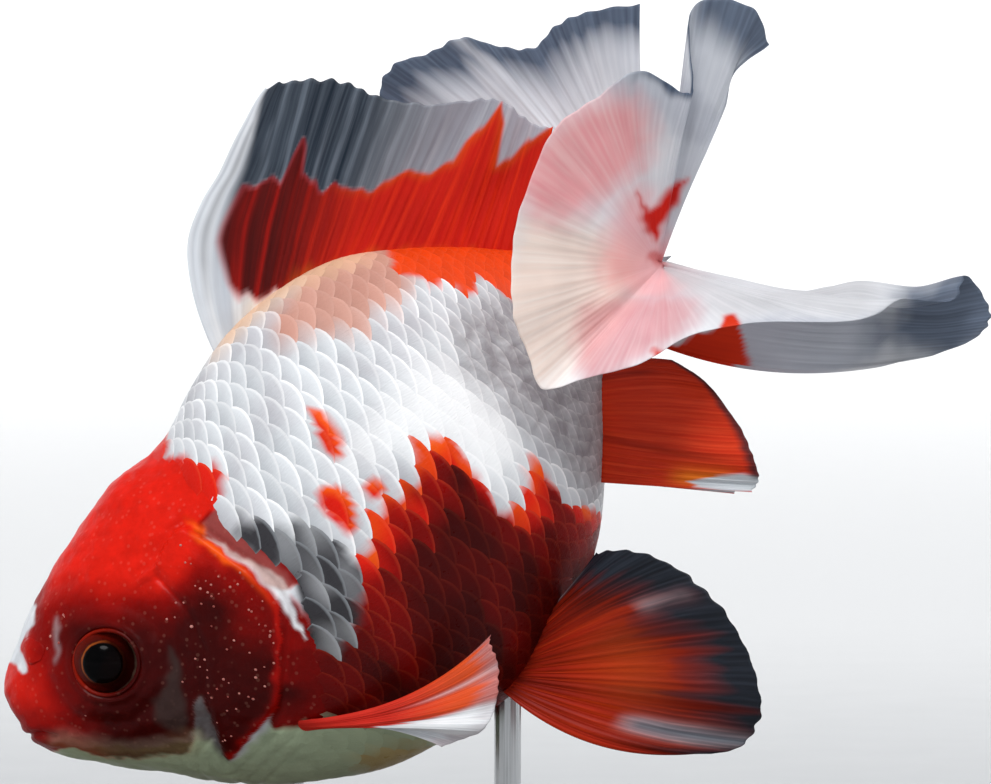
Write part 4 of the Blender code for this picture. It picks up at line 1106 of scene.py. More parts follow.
tail = {
    "centre": (117.0, 0.4),
    "radii": (2.6, 4.0),
    "sides": (2.6, 4.0),
    "angles": (30.0, 325.0),
    "pastFold": 4,
    "lowerRoot": (108.6, -7.4, 0.6),
    # tip and bow of each main ray
    "upperLeft": (((148.1, 19.1, 8), 0.9), ((148.9, 25.1, 9), 0.4), ((142.4, 29.9, 11), 0),
                  ((135.8, 21.0, 12), 0), ((133.8, 20.1, 13), 0.8), ((130.0, 26.4, 17), 0.8),
                  ((123.1, 26.5, 21), 0), ((114.6, 26.0, 25), 0)),
    "upperRight": (((135.9, 34.3, 13), 1.0), ((129.0, 37.4, 15), 0.6), ((123.8, 38.5, 16), 0.3),
                   ((119.1, 37.4, 17), 0), ((114.8, 40.4, 18), 0), ((110.7, 44.8, 18.5), 0),
                   ((105.4, 45.5, 19), 0), ((99.9, 46.8, 20), 0), ((95.6, 44.4, 20.8), 0),
                   ((94.0, 35.1, 22), 0), ((97.0, 25.5, 24), 0)),
    "collar": (((105.6, 19.9, 27), 0), ((99.8, 13.9, 28), 0), ((95.1, 7.2, 28), 0), ((94.1, 0.9, 27), 0),
               ((92.8, -4.7, 25.5), 0), ((99.3, -7.1, 24), 0), ((106.7, -9.6, 22), 0),
               ((115.1, -10.1, 20.5), 0)),
    "lower": (((122.6, -12.9, 19), 0), ((130.1, -17.4, 18), 0), ((138.4, -22.1, 17), -0.6),
              ((144.5, -22.6, 16), -1.2), ((150.5, -26.3, 15), -1.4), ((153.6, -25.1, 12.6), -1.2),
              ((154.4, -30.1, 9.6), -1.4), ((152.8, -32.8, 8.6), -2.0), ((148.3, -33.5, 8.2), -2.4),
              ((139.7, -30.9, 8.2), -2.8)),
}


def tailRays(flank):
    upper = tail["upperLeft"] if flank < 0 else tail["upperRight"]
    shared = tail["collar"] + tail["lower"]
    tips = np.array([r[0] for r in upper + shared], float)
    bows = np.array([r[1] for r in upper + shared], float)
    count = len(tips)
    fold = count - 1 - tail["pastFold"]
    angle = np.radians(np.interp(np.arange(count), (0, fold), tail["angles"]))
    rear, front = tail["sides"]
    side = rear + (front - rear) * np.sin(angle / 2) ** 2
    return tips, bows, fold, angle, side, len(upper)


def raySheet(roots, tips, bows, flare, u, v):
    # Points on the sheet at main-ray number u and share v of the way from root to tip
    roots, tips, bows = np.array(roots, float), np.array(tips, float), np.array(bows, float)[:, None]
    chord = tips - roots
    normal = np.stack([-chord[:, 1], chord[:, 0], np.zeros(len(chord))], 1)
    normal /= np.maximum(np.linalg.norm(normal, axis=1, keepdims=True), 1e-6)
    middle = (roots + tips) / 2 + normal * bows
    middle[:, 2] = roots[:, 2] + flare * chord[:, 2]
    a, b, c = (spline(rows, u.ravel()) for rows in (roots, middle, tips))
    v = v.reshape(-1, 1)
    return (a * (2 * v - 1) * (v - 1) + b * 4 * v * (1 - v) + c * v * (2 * v - 1)).reshape(*u.shape, 3)


def nudged(points, u, v, edges):
    # Moves the sheet near a main ray within its own plane, by the millimetres in a table at each reach
    for ray, width, table in edges:
        row = int(round(ray / u.max() * (len(u) - 1)))
        line = points[row, -1] - points[row, 0]
        normal = np.array([-line[1], line[0], 0.0]) / math.hypot(line[0], line[1])
        reach, moves = np.transpose(table)
        shift = spline(moves[:, None], np.interp(v, reach, range(len(table))).ravel())
        points = points + (shift.reshape(v.shape) * step(width, 0.0, np.abs(u - ray)))[..., None] * normal
    return points


def buildFin(name, roots, tips, bows, form, paint, material, seed, edges=(), bare=0.0):
    # A pleated sheet with two faces; bare is the share of each ray that stays flat at its root
    count, rays, across, along = len(roots), form["rays"], form["across"], form["along"]
    u, v = np.meshgrid(np.linspace(0, count - 1, across), np.linspace(0, 1, along) ** 0.9, indexing="ij")
    ray = u / (count - 1) * rays
    rng = np.random.default_rng(seed)
    cut = np.interp(ray[:, 0], np.arange(0, rays + 0.5, 0.5), rng.uniform(-1, 1, 2 * rays + 1))
    edge = 1 + form["ragged"] * (0.55 * cut + 0.45 * np.cos(2 * math.pi * ray[:, 0]))
    reach = form["start"] + (1 - form["start"]) * v * (1 + (edge[:, None] - 1) * v ** 4)
    points = nudged(raySheet(roots, tips, bows, form["flare"], u, reach), u, v, edges)
    normal = gridNormals(points)
    ridge = np.cos(2 * math.pi * ray)
    grown = step(bare, bare + 0.35, v) * (1 - 0.45 * step(0.75, 1.0, v))
    sway = mottle(np.stack([ray.ravel() * 0.8, v.ravel() * 1.6], 1), 4.0, seed + 40).reshape(v.shape)
    fade = step(0.0, 1.2, ray) * step(rays, rays - 1.2, ray)
    lift = form["pleat"] * grown * ridge + form["ripple"] * sway * step(0.15, 0.9, v)
    points = points + normal * (lift * fade)[..., None]
    thick = form["edgeThick"] + (form["rootThick"] - form["edgeThick"]) * (1 - v) ** 1.6
    thick *= 0.82 + 0.3 * step(bare, bare + 0.3, v) * (0.5 + 0.5 * np.cos(4 * math.pi * ray)) ** 2
    brim = np.minimum(1.0, np.minimum(u, count - 1 - u) * across / (count - 1) / 2.5 + 0.25)
    thick *= brim * (1 - 0.45 * step(0.96, 1.0, v))
    normal = gridNormals(points)
    front, back = points + normal * thick[..., None] / 2, points - normal * thick[..., None] / 2
    both = np.concatenate([front, back[:, ::-1]], 1)
    rows, columns = both.shape[:2]
    j = np.arange(along - 1)
    caps = [np.stack([row + j, row + j + 1, row + columns - 2 - j, row + columns - 1 - j], 1)[:, ::turn]
            for row, turn in ((0, 1), ((rows - 1) * columns, -1))]
    marks, tints = paint(u, v, points)
    fields = {"ray": (np.concatenate([ray, ray[:, ::-1]], 1), "FLOAT"),
              "reach": (np.concatenate([v, v[:, ::-1]], 1), "FLOAT"),
              "marks": (np.concatenate([marks, marks[:, ::-1]], 1), "FLOAT_COLOR"),
              "tints": (np.concatenate([tints, tints[:, ::-1]], 1), "FLOAT_COLOR")}
    obj = addMesh(name, place(both.reshape(-1, 3)), [gridFaces(rows, columns, True), *caps], material)
    for key, (values, kind) in fields.items():
        setField(obj.data, key, values, kind)
    return obj


def zone(u, v, outline, soft, perRay, perReach, rounded=False):
    # Share of a marking drawn in main-ray number and reach; perRay and perReach turn those into mm
    points = np.stack([u.ravel() * perRay, v.ravel() * perReach], 1)
    gap = insideOf(points, np.array(outline) * [perRay, perReach], rounded)
    return step(-soft, soft, gap).reshape(u.shape)


def frayed(u, v, amount, finer, seed):
    # Reach with its marks' edges drawn out along the rays
    flat = np.stack([u.ravel() * finer, v.ravel() * 0.6], 1)
    return v + amount * mottle(flat, 1.0, seed).reshape(v.shape)


def shares(*channels):
    return np.stack([np.clip(c, 0, 1) * np.ones_like(channels[0]) for c in channels], -1)


def paintDorsal(u, v, points):
    w = frayed(u, v, 0.022, 1.6, 61)
    outline = ((0.58, 0.62), (0.5, 0.48), (0.48, 0.43), (0.62, 0.29), (0.8, 0.22), (1.6, 0.14),
               (2.2, 0.09), (3.0, 0.03), (5.0, -0.3), (9, -0.4), (9, 1.4), (7.9, 1.05), (7.1, 0.9),
               (6.7, 0.75), (6.4, 0.67), (6.2, 0.9), (5.9, 1.0), (5.6, 0.88), (5.2, 0.76), (5.1, 0.65),
               (4.7, 0.6), (4.0, 0.6), (3.6, 0.53), (3.0, 0.55), (2.5, 0.55), (2.2, 0.53), (2.0, 0.58),
               (1.66, 0.62), (1.56, 0.74), (1.46, 0.78), (1.34, 0.72), (1.2, 0.61), (0.8, 0.63))
    band = zone(u, w, outline, 0.5, 6.0, 32.0)
    fringe = (1 - zone(u, w, outline, 2.2, 6.0, 32.0)) * step(0.4, 0.6, w) * step(2.0, 4.0, u)
    lead = np.interp(v, (0, 0.5, 0.8, 1), (0.55, 0.5, 0.36, 0.12))
    slate = step(-0.12, 0.14, u - lead) * (1 - 0.62 * step(2.6, 5.0, u))
    slate = slate * (1 - 0.85 * step(5.0, 7.0, u)) * step(0.3, 0.45, v)
    streak = np.maximum(0.6 * bump(u, 0.3, 0.07), 0.35 * bump(u, 0.12, 0.05))
    slate = np.maximum(slate, streak * step(0.12, 0.4, v) * step(1.0, 0.85, v))
    lavender = step(2.2, 4.6, u) * 0.9
    # the shade share on the red band, deepest at the front rays: partly painted shade, partly a deeper red
    shadeAndMaroon = band * (step(4.2, 1.2, u) * 0.85 + 0.15) * step(0.05, 0.2, v)
    cream = step(0.20, 0.05, v - 0.10 * step(2.5, 0.8, u)) * step(0.5, 1.2, u) * 0.9
    gold = band * step(0.14, 0.02, np.abs(w - np.interp(u, (0, 2, 3, 8), (0.2, 0.12, 0.06, 0.05)))) * 0.4
    gold = gold * step(1.8, 2.6, u) + band * fringe * 0.6
    white = step(0.5, 0.3, u) * 0.9
    dark = slate * (1 - band)                        # laid over the red, so that no pale seam shows
    return shares(band / np.maximum(1 - dark, 0.02), gold, dark, shadeAndMaroon), shares(0 * u, white, lavender, cream)


def paintPectoral(u, v, points):
    w = frayed(u, v, 0.03, 3.0, 62)
    pale = zone(u, w, ((2.2, 1.2), (2.1, 0.93), (2.3, 0.77), (2.5, 0.65), (2.9, 0.55), (3.5, 0.47),
                       (4.2, 0.41), (4.6, 0.40), (4.6, 1.3)), 0.8, 4.0, 33.0)
    pale = np.maximum(pale, 0.35 * bump(u, 1.15, 0.12) * step(0.5, 0.8, v))
    tip = step(0.88, 0.98, w)
    # painted shade, deepest at the fin's root
    shadeAndMaroon = 0.35 * step(0.35, 0.0, v) + 0.15
    return shares(1 - pale * (1 - 0.2 * tip), step(0.5, 0.9, v) * 0.3, tip * 0.45, shadeAndMaroon), \
        shares(0 * u, pale * step(3.9, 3.0, u), pale * 0.6, 0 * u)


def paintPelvic(u, v, points):
    w = frayed(u, v, 0.06, 2.6, 63)
    edge = np.interp(u, (0, 1, 3, 5, 6), (0.60, 0.66, 0.74, 0.84, 0.9))
    margin = np.clip((w - edge + 0.06) / 0.22, 0, 1) ** 0.8
    streak = 0.4 * bump(u, 2.1, 0.17) * step(0.66, 0.76, v) * step(1.0, 0.9, v)
    streak += 0.95 * bump(u, 4.85, 0.22) * step(0.5, 0.62, v)
    streak = np.clip(np.maximum(streak, 0.7 * bump(u, 0.08, 0.14) * step(0.95, 0.7, v)), 0, 1)
    glow = 0.25 * bump(u, 3.4, 1.0) * step(0.2, 0.6, v) * step(0.8, 0.5, v)
    # the shade share, partly painted shade and partly the fin's own deeper red, varying across the rays and
    # deeper in from the margin
    shadeAndMaroon = 0.55 - 0.2 * step(4.4, 5.6, u) - 0.3 * bump(u, 3.4, 1.3) * step(0.1, 0.4, v)
    shadeAndMaroon += 0.12 * np.sin(5 * u)
    shadeAndMaroon += 0.45 * step(edge - 0.35, edge, w) + 0.3 * step(1.6, 0.6, u)
    return shares(1 - 0.9 * streak, glow * (1 - margin), margin * (1 - 0.7 * streak), shadeAndMaroon), \
        shares(0 * u, 0 * u, streak, 0 * u)


def paintAnal(u, v, points):
    w = frayed(u, v, 0.02, 2.4, 64)
    margin = step(0.93, 0.985, 0.8 * v + 0.2 * w) * step(0.5, 1.1, u) * 0.85
    white = zone(u, w, ((0.15, 0.72), (0.5, 0.66), (0.9, 0.76), (1.1, 0.92), (0.9, 1.1), (0.2, 1.1),
                        (0.0, 0.88)), 0.5,
                 4.0, 24.0)
    # painted shade along two folds of the fin
    foldShade = 0.8 * bump(u, 3.9 + 0.25 * v, 0.16) * step(0.1, 0.3, v) * step(0.75, 0.55, v)
    second = 0.9 * bump(u, 2.0 - 0.5 * v, 0.15) * step(0.05, 0.25, v) * step(0.95, 0.7, v)
    foldShade = np.maximum(foldShade, second)
    glow = 0.9 * bump(u, 0.7, 0.45) * step(0.5, 0.66, v) * step(0.95, 0.8, v)
    shadeAndMaroon = 0.06 + 0.5 * foldShade + 0.45 * step(3.2, 4.8, u)
    return shares(1 - white, glow, margin, shadeAndMaroon), shares(0 * u, white, 0 * u, 0 * u)


tailMarks = {
    # outlines on the left half, in s and h, with the width of their soft edge
    "pink": (((113.9, 27), (122.9, 26.1), (127.4, 22.0), (124.9, 15.7), (118, 13.5), (108.6, 14.1),
              (105, 19.1), (107, 24)), 3.5),
    "cream": (((102.6, 17.5), (108.8, 14.1), (114.2, 6.3), (113.8, 1.2), (104.8, -2.8), (92, -4.7),
               (92, 6.7)), 3.5),
    "lowerPink": (((104.1, 1.5), (116.7, -4.4), (119, -7), (116.4, -9), (107.9, -9), (98.9, -7.6)), 2.2),
    "hubPink": (((109, 4), (113, 9), (118.4, 13), (121.5, 11), (119.8, 4), (124, -1), (121, -4.4),
                 (113, -4)), 3.2),
    "hubRed": (((115.9, 2.6), (117.4, 2.6), (118.4, 0.9), (121.0, -0.2), (120.8, -1.0), (117.2, -0.2),
                (115.8, 1.2)), 0.6),
    "rootRed": (((120.4, 13.0), (120.0, 10.1), (119.2, 5.0), (120.4, 3.6), (121.2, 6.2), (122.0, 9.0)),
                1.2),
    "patchRed": (((119.8, 11.8), (119.9, 8.6), (121.4, 8.2), (123.6, 9.4), (127.4, 9.2), (124.3, 7.2),
                  (121.2, 5.6), (118.5, 4.2), (118.2, 7.2), (119.1, 9.4)), 0.8),
    "greyLobe": (((136.8, 21), (131, 28.7), (122.9, 29.3), (127.9, 18.5), (130.3, 11.5), (137.2, 10.4)),
                 3.0),
    "bandRed": (((109.2, -9.2), (112.9, -11.0), (115.1, -10.9), (118.4, -12.0), (120.7, -10.6),
                 (122.4, -11.5), (122.2, -13.0), (121.2, -16.6), (118.5, -20.2), (112.0, -16.5)), 0.5),
    "bandGrey": (((122.5, -12.2), (134.9, -19.6), (140.9, -23.8), (134, -28.6), (117.5, -20)), 1.4),
    "tipSlate": (((141.6, -22.8), (145.4, -20.3), (149.8, -21.5), (153, -20.5), (158, -22.3), (158, -34.8),
                  (146, -36.2), (141.7, -32.7), (139.0, -29.3), (137.4, -25.8)), 4.2),
}


def paintTail(flank):
    _, bows, *_, upper = tailRays(-1)
    leftRoots, leftTips = tailRootsTips(-1)

    def paint(u, v, points):
        w = frayed(u, v, 0.02, 1.4, 65)
        if flank < 0:
            at = points
            lobe = np.maximum(7.6 - u, 0)
        else:
            own = len(tail["upperRight"])
            leftRay = np.maximum(u - own + upper, 0)                  # the same ray on the left lobe
            at = raySheet(leftRoots, leftTips, bows, fins["tailForm"]["flare"], leftRay, v)
            lobe = np.maximum(own - 0.4 - u, 0)
        onLobe = step(0.0, 1.2, lobe)
        wander = [mottle(points.reshape(-1, 3), 3.0, seed) for seed in (66, 67)]
        flat = at.reshape(-1, 3)[:, :2] + 0.25 * np.stack(wander, 1)
        share = {name: step(-soft, soft, insideOf(flat, outline)).reshape(u.shape)
                 for name, (outline, soft) in tailMarks.items()}
        lower = step(14.5, 16.5, u - (0 if flank < 0 else 3))
        if flank < 0:
            dark = 0.9 * step(0.80, 0.98, w + 0.08 * bump(u, 0.9, 0.5)) * step(2.4, 1.7, u)
            dark = np.maximum(dark, 0.95 * step(0.93, 0.995, w) * step(1.8, 2.4, u) * step(5.4, 4.6, u))
            dark = np.maximum(dark, 0.7 * step(0.35, 0.05, u) * step(0.55, 0.8, v))
            grey = np.maximum(0.8 * share["greyLobe"], onLobe * step(4.5, 3.0, u) * 0.55)
            pink = 0.8 * share["pink"] * step(1.2, 4.0, u)
        else:
            edge = np.interp(u, (0, 1.5, 2.5, 4, 4.8, 6, 7.5, 9, 10, 11, 13),
                             (0.9, 0.88, 0.8, 0.82, 0.93, 0.86, 0.84, 0.83, 0.86, 0.93, 1.1))
            dark = np.clip((w - edge + 0.10) / (1.04 - edge), 0, 1) ** 1.8 * step(13, 11, u) * 0.92
            shaft = bump(u, 5.1 - 1.2 * (0.97 - v), 0.22) * step(0.70, 0.8, v)
            dark = dark * (1 - 0.6 * shaft)
            grey = onLobe * (0.2 + 0.4 * step(0.5, 0.9, w))
            pink = share["pink"] * (1 - onLobe) * 0.5 + 0.25 * onLobe * step(0.45, 0.2, v)
        inside = (1 - onLobe) if flank > 0 else 1.0
        dark = np.maximum.reduce([dark, 0.95 * share["tipSlate"], 0.14 * share["lowerPink"] * inside])
        grey = np.maximum.reduce([grey, 0.8 * share["bandGrey"], 0.5 * share["lowerPink"] * inside])
        pink = np.maximum.reduce([pink, 0.6 * share["lowerPink"], 0.6 * share["hubPink"],
                                  0.35 * share["rootRed"]])
        red = np.maximum.reduce([share["bandRed"], share["patchRed"], 0.6 * share["hubRed"]]) * inside
        white = lower * (1 - share["bandGrey"]) * 0.85
        return shares(red, 0.1 * share["bandRed"], dark, 0 * red), \
            shares(pink, white, grey, share["cream"] * inside * (1 - 0.4 * lower))
    return paint


def tailRootsTips(flank):
    tips, _, fold, angle, side, upper = tailRays(flank)
    row = np.arange(len(tips))
    ring = np.stack([tail["centre"][0] + tail["radii"][0] * np.cos(angle),
                     tail["centre"][1] + tail["radii"][1] * np.sin(angle), side], 1)
    past = np.clip((row - fold) / tail["pastFold"], 0.0, 1.0)[:, None]
    lowest = np.array(tail["lowerRoot"])
    back = ring[fold] * [1, 1, 0] + [0, 0, lowest[2]]
    roots = np.where(past > 0, back + (lowest - back) * past, ring)
    hub = np.array([tail["centre"][0] + 0.4, tail["centre"][1], 0.0])
    drawn = np.where(past > 0, 1 - 0.2 * (1 - past), 0.30)
    roots[:, :2] = hub[:2] + (roots[:, :2] - hub[:2]) * drawn         # rays meet over the stalk's end
    roots[:, 2] += 0.5
    if flank > 0:
        drawnIn = roots + (tips - roots) * fins["rightReach"] + [*fins["rightDrop"], 0.0]
        tips[upper:] = drawnIn[upper:]
    return roots * [1, 1, flank], tips * [1, 1, flank]


def finMaterial(name, tones):
    # Thin cast resin, sprayed in thin coats: ribs catch the light, the web between them is duller
    material, tree, at = newMaterial(name)
    ray = addNode(tree, "Attribute", attribute_name="ray").outputs["Fac"]
    reach = addNode(tree, "Attribute", attribute_name="reach").outputs["Fac"]
    marks = addNode(tree, "Attribute", attribute_name="marks")
    tints = addNode(tree, "Attribute", attribute_name="tints")
    red, gold, dark = addNode(tree, "SeparateColor", {0: marks.outputs["Color"]}).outputs
    pink, white, grey = addNode(tree, "SeparateColor", {0: tints.outputs["Color"]}).outputs
    shadeAndMaroon, cream = marks.outputs["Alpha"], tints.outputs["Alpha"]
    drift = addNode(tree, "TexNoise", {"Vector": at, "Scale": 90.0, "Detail": 2.0})
    phase = addNode(tree, "Math MULTIPLY_ADD", (drift, 0.5, ray))
    phase = addNode(tree, "Math MULTIPLY", (phase, tones["ribs"]))
    waves = []
    for turns in (2, 6):
        turned = addNode(tree, "Math MULTIPLY", (phase, turns * math.pi))
        wave = addNode(tree, "Math COSINE", [turned])
        waves.append(addNode(tree, "Math MULTIPLY_ADD", (wave, 0.5, 0.5)))
    main, split = waves
    which = addNode(tree, "Math ROUND", [phase])
    chance = addNode(tree, "TexWhiteNoise", {"W": which}, noise_dimensions="1D").outputs["Value"]
    chance = addNode(tree, "Math MULTIPLY_ADD", (chance, 0.75, 0.25))
    main = addNode(tree, "Math MULTIPLY", (addNode(tree, "Math POWER", (main, 2.6)), chance))
    outer = addNode(tree, "MapRange", {0: reach, 1: 0.3, 2: 0.8})
    split = addNode(tree, "Math MULTIPLY", (addNode(tree, "Math POWER", (split, 1.6)), outer))
    rays = addNode(tree, "Math MAXIMUM", (main, addNode(tree, "Math MULTIPLY", (split, tones["fine"]))))
    streakAt = addNode(tree, "CombineXYZ", {0: addNode(tree, "Math MULTIPLY", (ray, 4.0)),
                                            1: addNode(tree, "Math MULTIPLY", (reach, 1.6))})
    streak = addNode(tree, "TexNoise", {"Vector": streakAt, "Scale": 1.1, "Detail": 4.0})
    streak = addNode(tree, "MapRange", {0: streak, 1: 0.35, 2: 0.65})
    rays = addNode(tree, "Math MULTIPLY", (rays, addNode(tree, "Math MULTIPLY_ADD", (streak, 0.6, 0.4))))
    rooted = addNode(tree, "MapRange", {0: reach, 1: tones["rooted"], 2: tones["rooted"] + 0.2})
    rays = addNode(tree, "Math MULTIPLY", (rays, rooted))
    shown = addNode(tree, "Math MULTIPLY_ADD", (rays, tones["ribShow"],
                                                addNode(tree, "Math MULTIPLY", (streak, 0.22))))
    tone = {key: addNode(tree, "Mix", (shown, *map(toLinear, codes)), data_type="RGBA")
            for key, codes in tones.items() if isinstance(codes, tuple)}
    # the red deepens to its copy in painted shade by the shade share
    redTone = addNode(tree, "Mix", (shadeAndMaroon, tone["red"], tone["redShaded"]), data_type="RGBA")
    redTone = addNode(tree, "Mix", (addNode(tree, "Math MULTIPLY", (gold, 0.8)), redTone,
                                    toLinear(tones["gold"])), data_type="RGBA")
    free = addNode(tree, "Math SUBTRACT", (1.0, addNode(tree, "Math MAXIMUM", (red, dark))), use_clamp=True)
    clean = addNode(tree, "Math MULTIPLY", (white, free))
    colour = tone["web"]
    for share, over in ((grey, tone["grey"]), (cream, tone["cream"]), (pink, tone["pink"]), (red, redTone),
                        (dark, tone["dark"]), (clean, tone["white"])):
        colour = addNode(tree, "Mix", (share, colour, over), data_type="RGBA")
    shade = addNode(tree, "MapRange", {0: drift, 1: 0.3, 2: 0.7, 3: 0.88, 4: 1.06})
    tint = addNode(tree, "CombineColor", {0: shade, 1: shade, 2: shade})
    colour = addNode(tree, "Mix", (1.0, colour, tint), data_type="RGBA", blend_type="MULTIPLY")
    joints = addNode(tree, "TexNoise", {"Vector": at, "Scale": 1100.0, "Detail": 2.0})
    height = addNode(tree, "Math ADD", (rays, addNode(tree, "Math MULTIPLY", (joints, 0.2))))
    rough = addNode(tree, "MapRange", {0: rays, 3: 0.5, 4: 0.36})
    return finishMaterial(material, colour, rough, (height, 0.0002, tones["relief"]), {
        "IOR": 1.5, "Specular IOR Level": 0.15})


finTones = {
    # web and rib of each colour; redShaded is the red in painted shade
    "web": ("#c3c9d2", "#eef1f4"), "grey": ("#b0adb8", "#d2d0d8"), "cream": ("#eedccb", "#fff6ee"),
    "pink": ("#f09ca0", "#fcd2ce"), "red": ("#cc1406", "#f23412"), "redShaded": ("#420302", "#a01006"),
    "gold": "#f2851e", "dark": ("#242f3f", "#7b8591"), "white": ("#dfe4ea", "#ffffff"),
    "ribs": 1.0, "ribShow": 0.85, "fine": 0.12, "relief": 0.3, "rooted": 0.0,
}
dorsalFinish = finMaterial("sprayed resin back fin", finTones | {"dark": ("#1a2431", "#707a86")})
tailFinish = finMaterial("sprayed resin tail fin", finTones | {
    "web": ("#e6e9ee", "#f9fafc"), "grey": ("#abafbb", "#cdd1da"), "dark": ("#2f3e55", "#6a7d97"),
    "cream": ("#fbe3d6", "#fff6ef"), "pink": ("#f6898d", "#ffc9c5"),
    "white": ("#c9cace", "#e6e5e9"), "ribShow": 0.36, "fine": 0.7, "relief": 0.12, "rooted": 0.3})
lowFinish = finMaterial("sprayed resin lower fins", finTones | {
    "red": ("#a81a06", "#dc4012"), "redShaded": ("#340602", "#8e1e06"), "dark": ("#12151c", "#2c323c"),
    "gold": "#e06a1c", "grey": ("#4c5b67", "#8497a2"), "fine": 0.6, "relief": 0.3})
rearFinish = finMaterial("sprayed resin rear fins", finTones | {
    "red": ("#c62c10", "#ee4c26"), "redShaded": ("#6e1006", "#b02a10"), "dark": ("#1c1a20", "#3a3238"),
    "white": ("#b9c0c6", "#e4e7ea"), "ribShow": 0.6, "fine": 0.6, "relief": 0.22})
breastFinish = finMaterial("sprayed resin breast fins", finTones | {
    "red": ("#d22418", "#f0503c"), "redShaded": ("#7a0f08", "#b8220f"), "dark": ("#6f7682", "#a9afb8"),
    "white": ("#dfe2e6", "#ffffff"), "grey": ("#c2c6cc", "#e6e8ea"), "fine": 0.5, "relief": 0.25})


def splitRows(rows):
    return np.array([r[0] for r in rows], float), np.array([r[1] for r in rows], float), [r[2] for r in rows]


finObjs = {}
roots, tips, bows = splitRows(fins["dorsal"])
finObjs["dorsal_fin"] = buildFin("goldfishDorsalFin", roots, tips, bows, fins["dorsalForm"], paintDorsal,
                                 dorsalFinish, 3, [(0, 1.6, fins["dorsalEdge"])])
for kind, paint, finish in (("pectoral", paintPectoral, breastFinish), ("pelvic", paintPelvic, lowFinish),
                            ("anal", paintAnal, rearFinish)):
    for flank, word in ((-1, "left"), (1, "right")):
        roots, tips, bows = splitRows(fins[kind])
        if flank > 0:
            tips = roots + (tips - roots) * fins["rightReach"] + [*fins["rightDrop"], 0.0]
        flip = [1, 1, flank]
        name = "goldfish" + kind.capitalize() + "Fin" + word.capitalize()
        finObjs[kind + "_fin_" + word] = buildFin(name, roots * flip, tips * flip, bows,
                                                  fins[kind + "Form"], paint, finish, 11 + flank)
for flank, word in ((-1, "left"), (1, "right")):
    roots, tips = tailRootsTips(flank)
    bows, fold = tailRays(flank)[1:3]
    edges = [(fold, 3.0, fins["foldEdge"]), *([(0, 1.0, fins["tailEdge"])] if flank < 0 else [])]
    finObjs["tail_fin_" + word] = buildFin("goldfishTailFin" + word.capitalize(), roots, tips, bows,
                                           fins["tailForm"], paintTail(flank), tailFinish, 23 + flank,
                                           edges, 0.3)
print("fins:", {name: len(obj.data.polygons) for name, obj in finObjs.items()})


# eyes: turned about their own axis, pupil and iris under one clear dome

eyes = {
    "centre": (16.2, -4.3, 9.9),
    "radius": 5.45,
    "pupil": 3.0,
    "iris": 4.6,
    "tilt": (-0.10, 0.06),           # how far the gaze leans forward and up
}


def eyePiece(name, flank, material):
    axis = Vector((eyes["tilt"][0], eyes["tilt"][1], flank)).normalized()
    along = Vector((1, 0, 0)) - axis * axis.x
    along.normalize()
    up = axis.cross(along)
    if up.y < 0:
        up = -up
    polar = np.concatenate([np.linspace(0.015, 1.1, 46), np.linspace(1.15, math.pi - 0.015, 18)])
    away = eyes["radius"] * np.sin(polar)
    height = eyes["radius"] * np.cos(polar)
    inFront = polar < math.pi / 2
    height -= np.where(inFront, 0.35 * bump(away, (eyes["pupil"] + eyes["iris"]) / 2 + 0.1, 0.75), 0)
    height += np.where(inFront, 0.12 * step(eyes["pupil"] + 0.3, eyes["pupil"] - 0.4, away), 0)
    turns = 72
    turn = np.linspace(0, 2 * math.pi, turns, endpoint=False)
    a, b, c = (np.array(v) for v in (along, up, axis))
    ring = a * np.cos(turn)[:, None] + b * np.sin(turn)[:, None]
    points = (ring[None] * away[:, None, None] + c * height[:, None, None]).reshape(-1, 3)
    ends = np.array([c * height[0], c * height[-1]])
    centre = np.array(eyes["centre"]) * [1, 1, flank]
    rows = len(polar)
    last = rows * turns
    groups = [gridFaces(rows, turns, True), hubFaces(last, 0, turns, True),
              hubFaces(last + 1, last - turns, turns)]
    obj = addMesh(name, place(np.concatenate([points, ends]) + centre), groups, material)
    front = np.where(polar < math.pi / 2, away, 2 * eyes["radius"] - away)
    setField(obj.data, "fromPupil", np.concatenate([np.repeat(front, turns), [0, 2 * eyes["radius"]]]))
    lean = np.cos(turn - math.radians(125))
    setField(obj.data, "upper", np.concatenate([np.tile(lean, rows), [0, 0]]))
    return obj


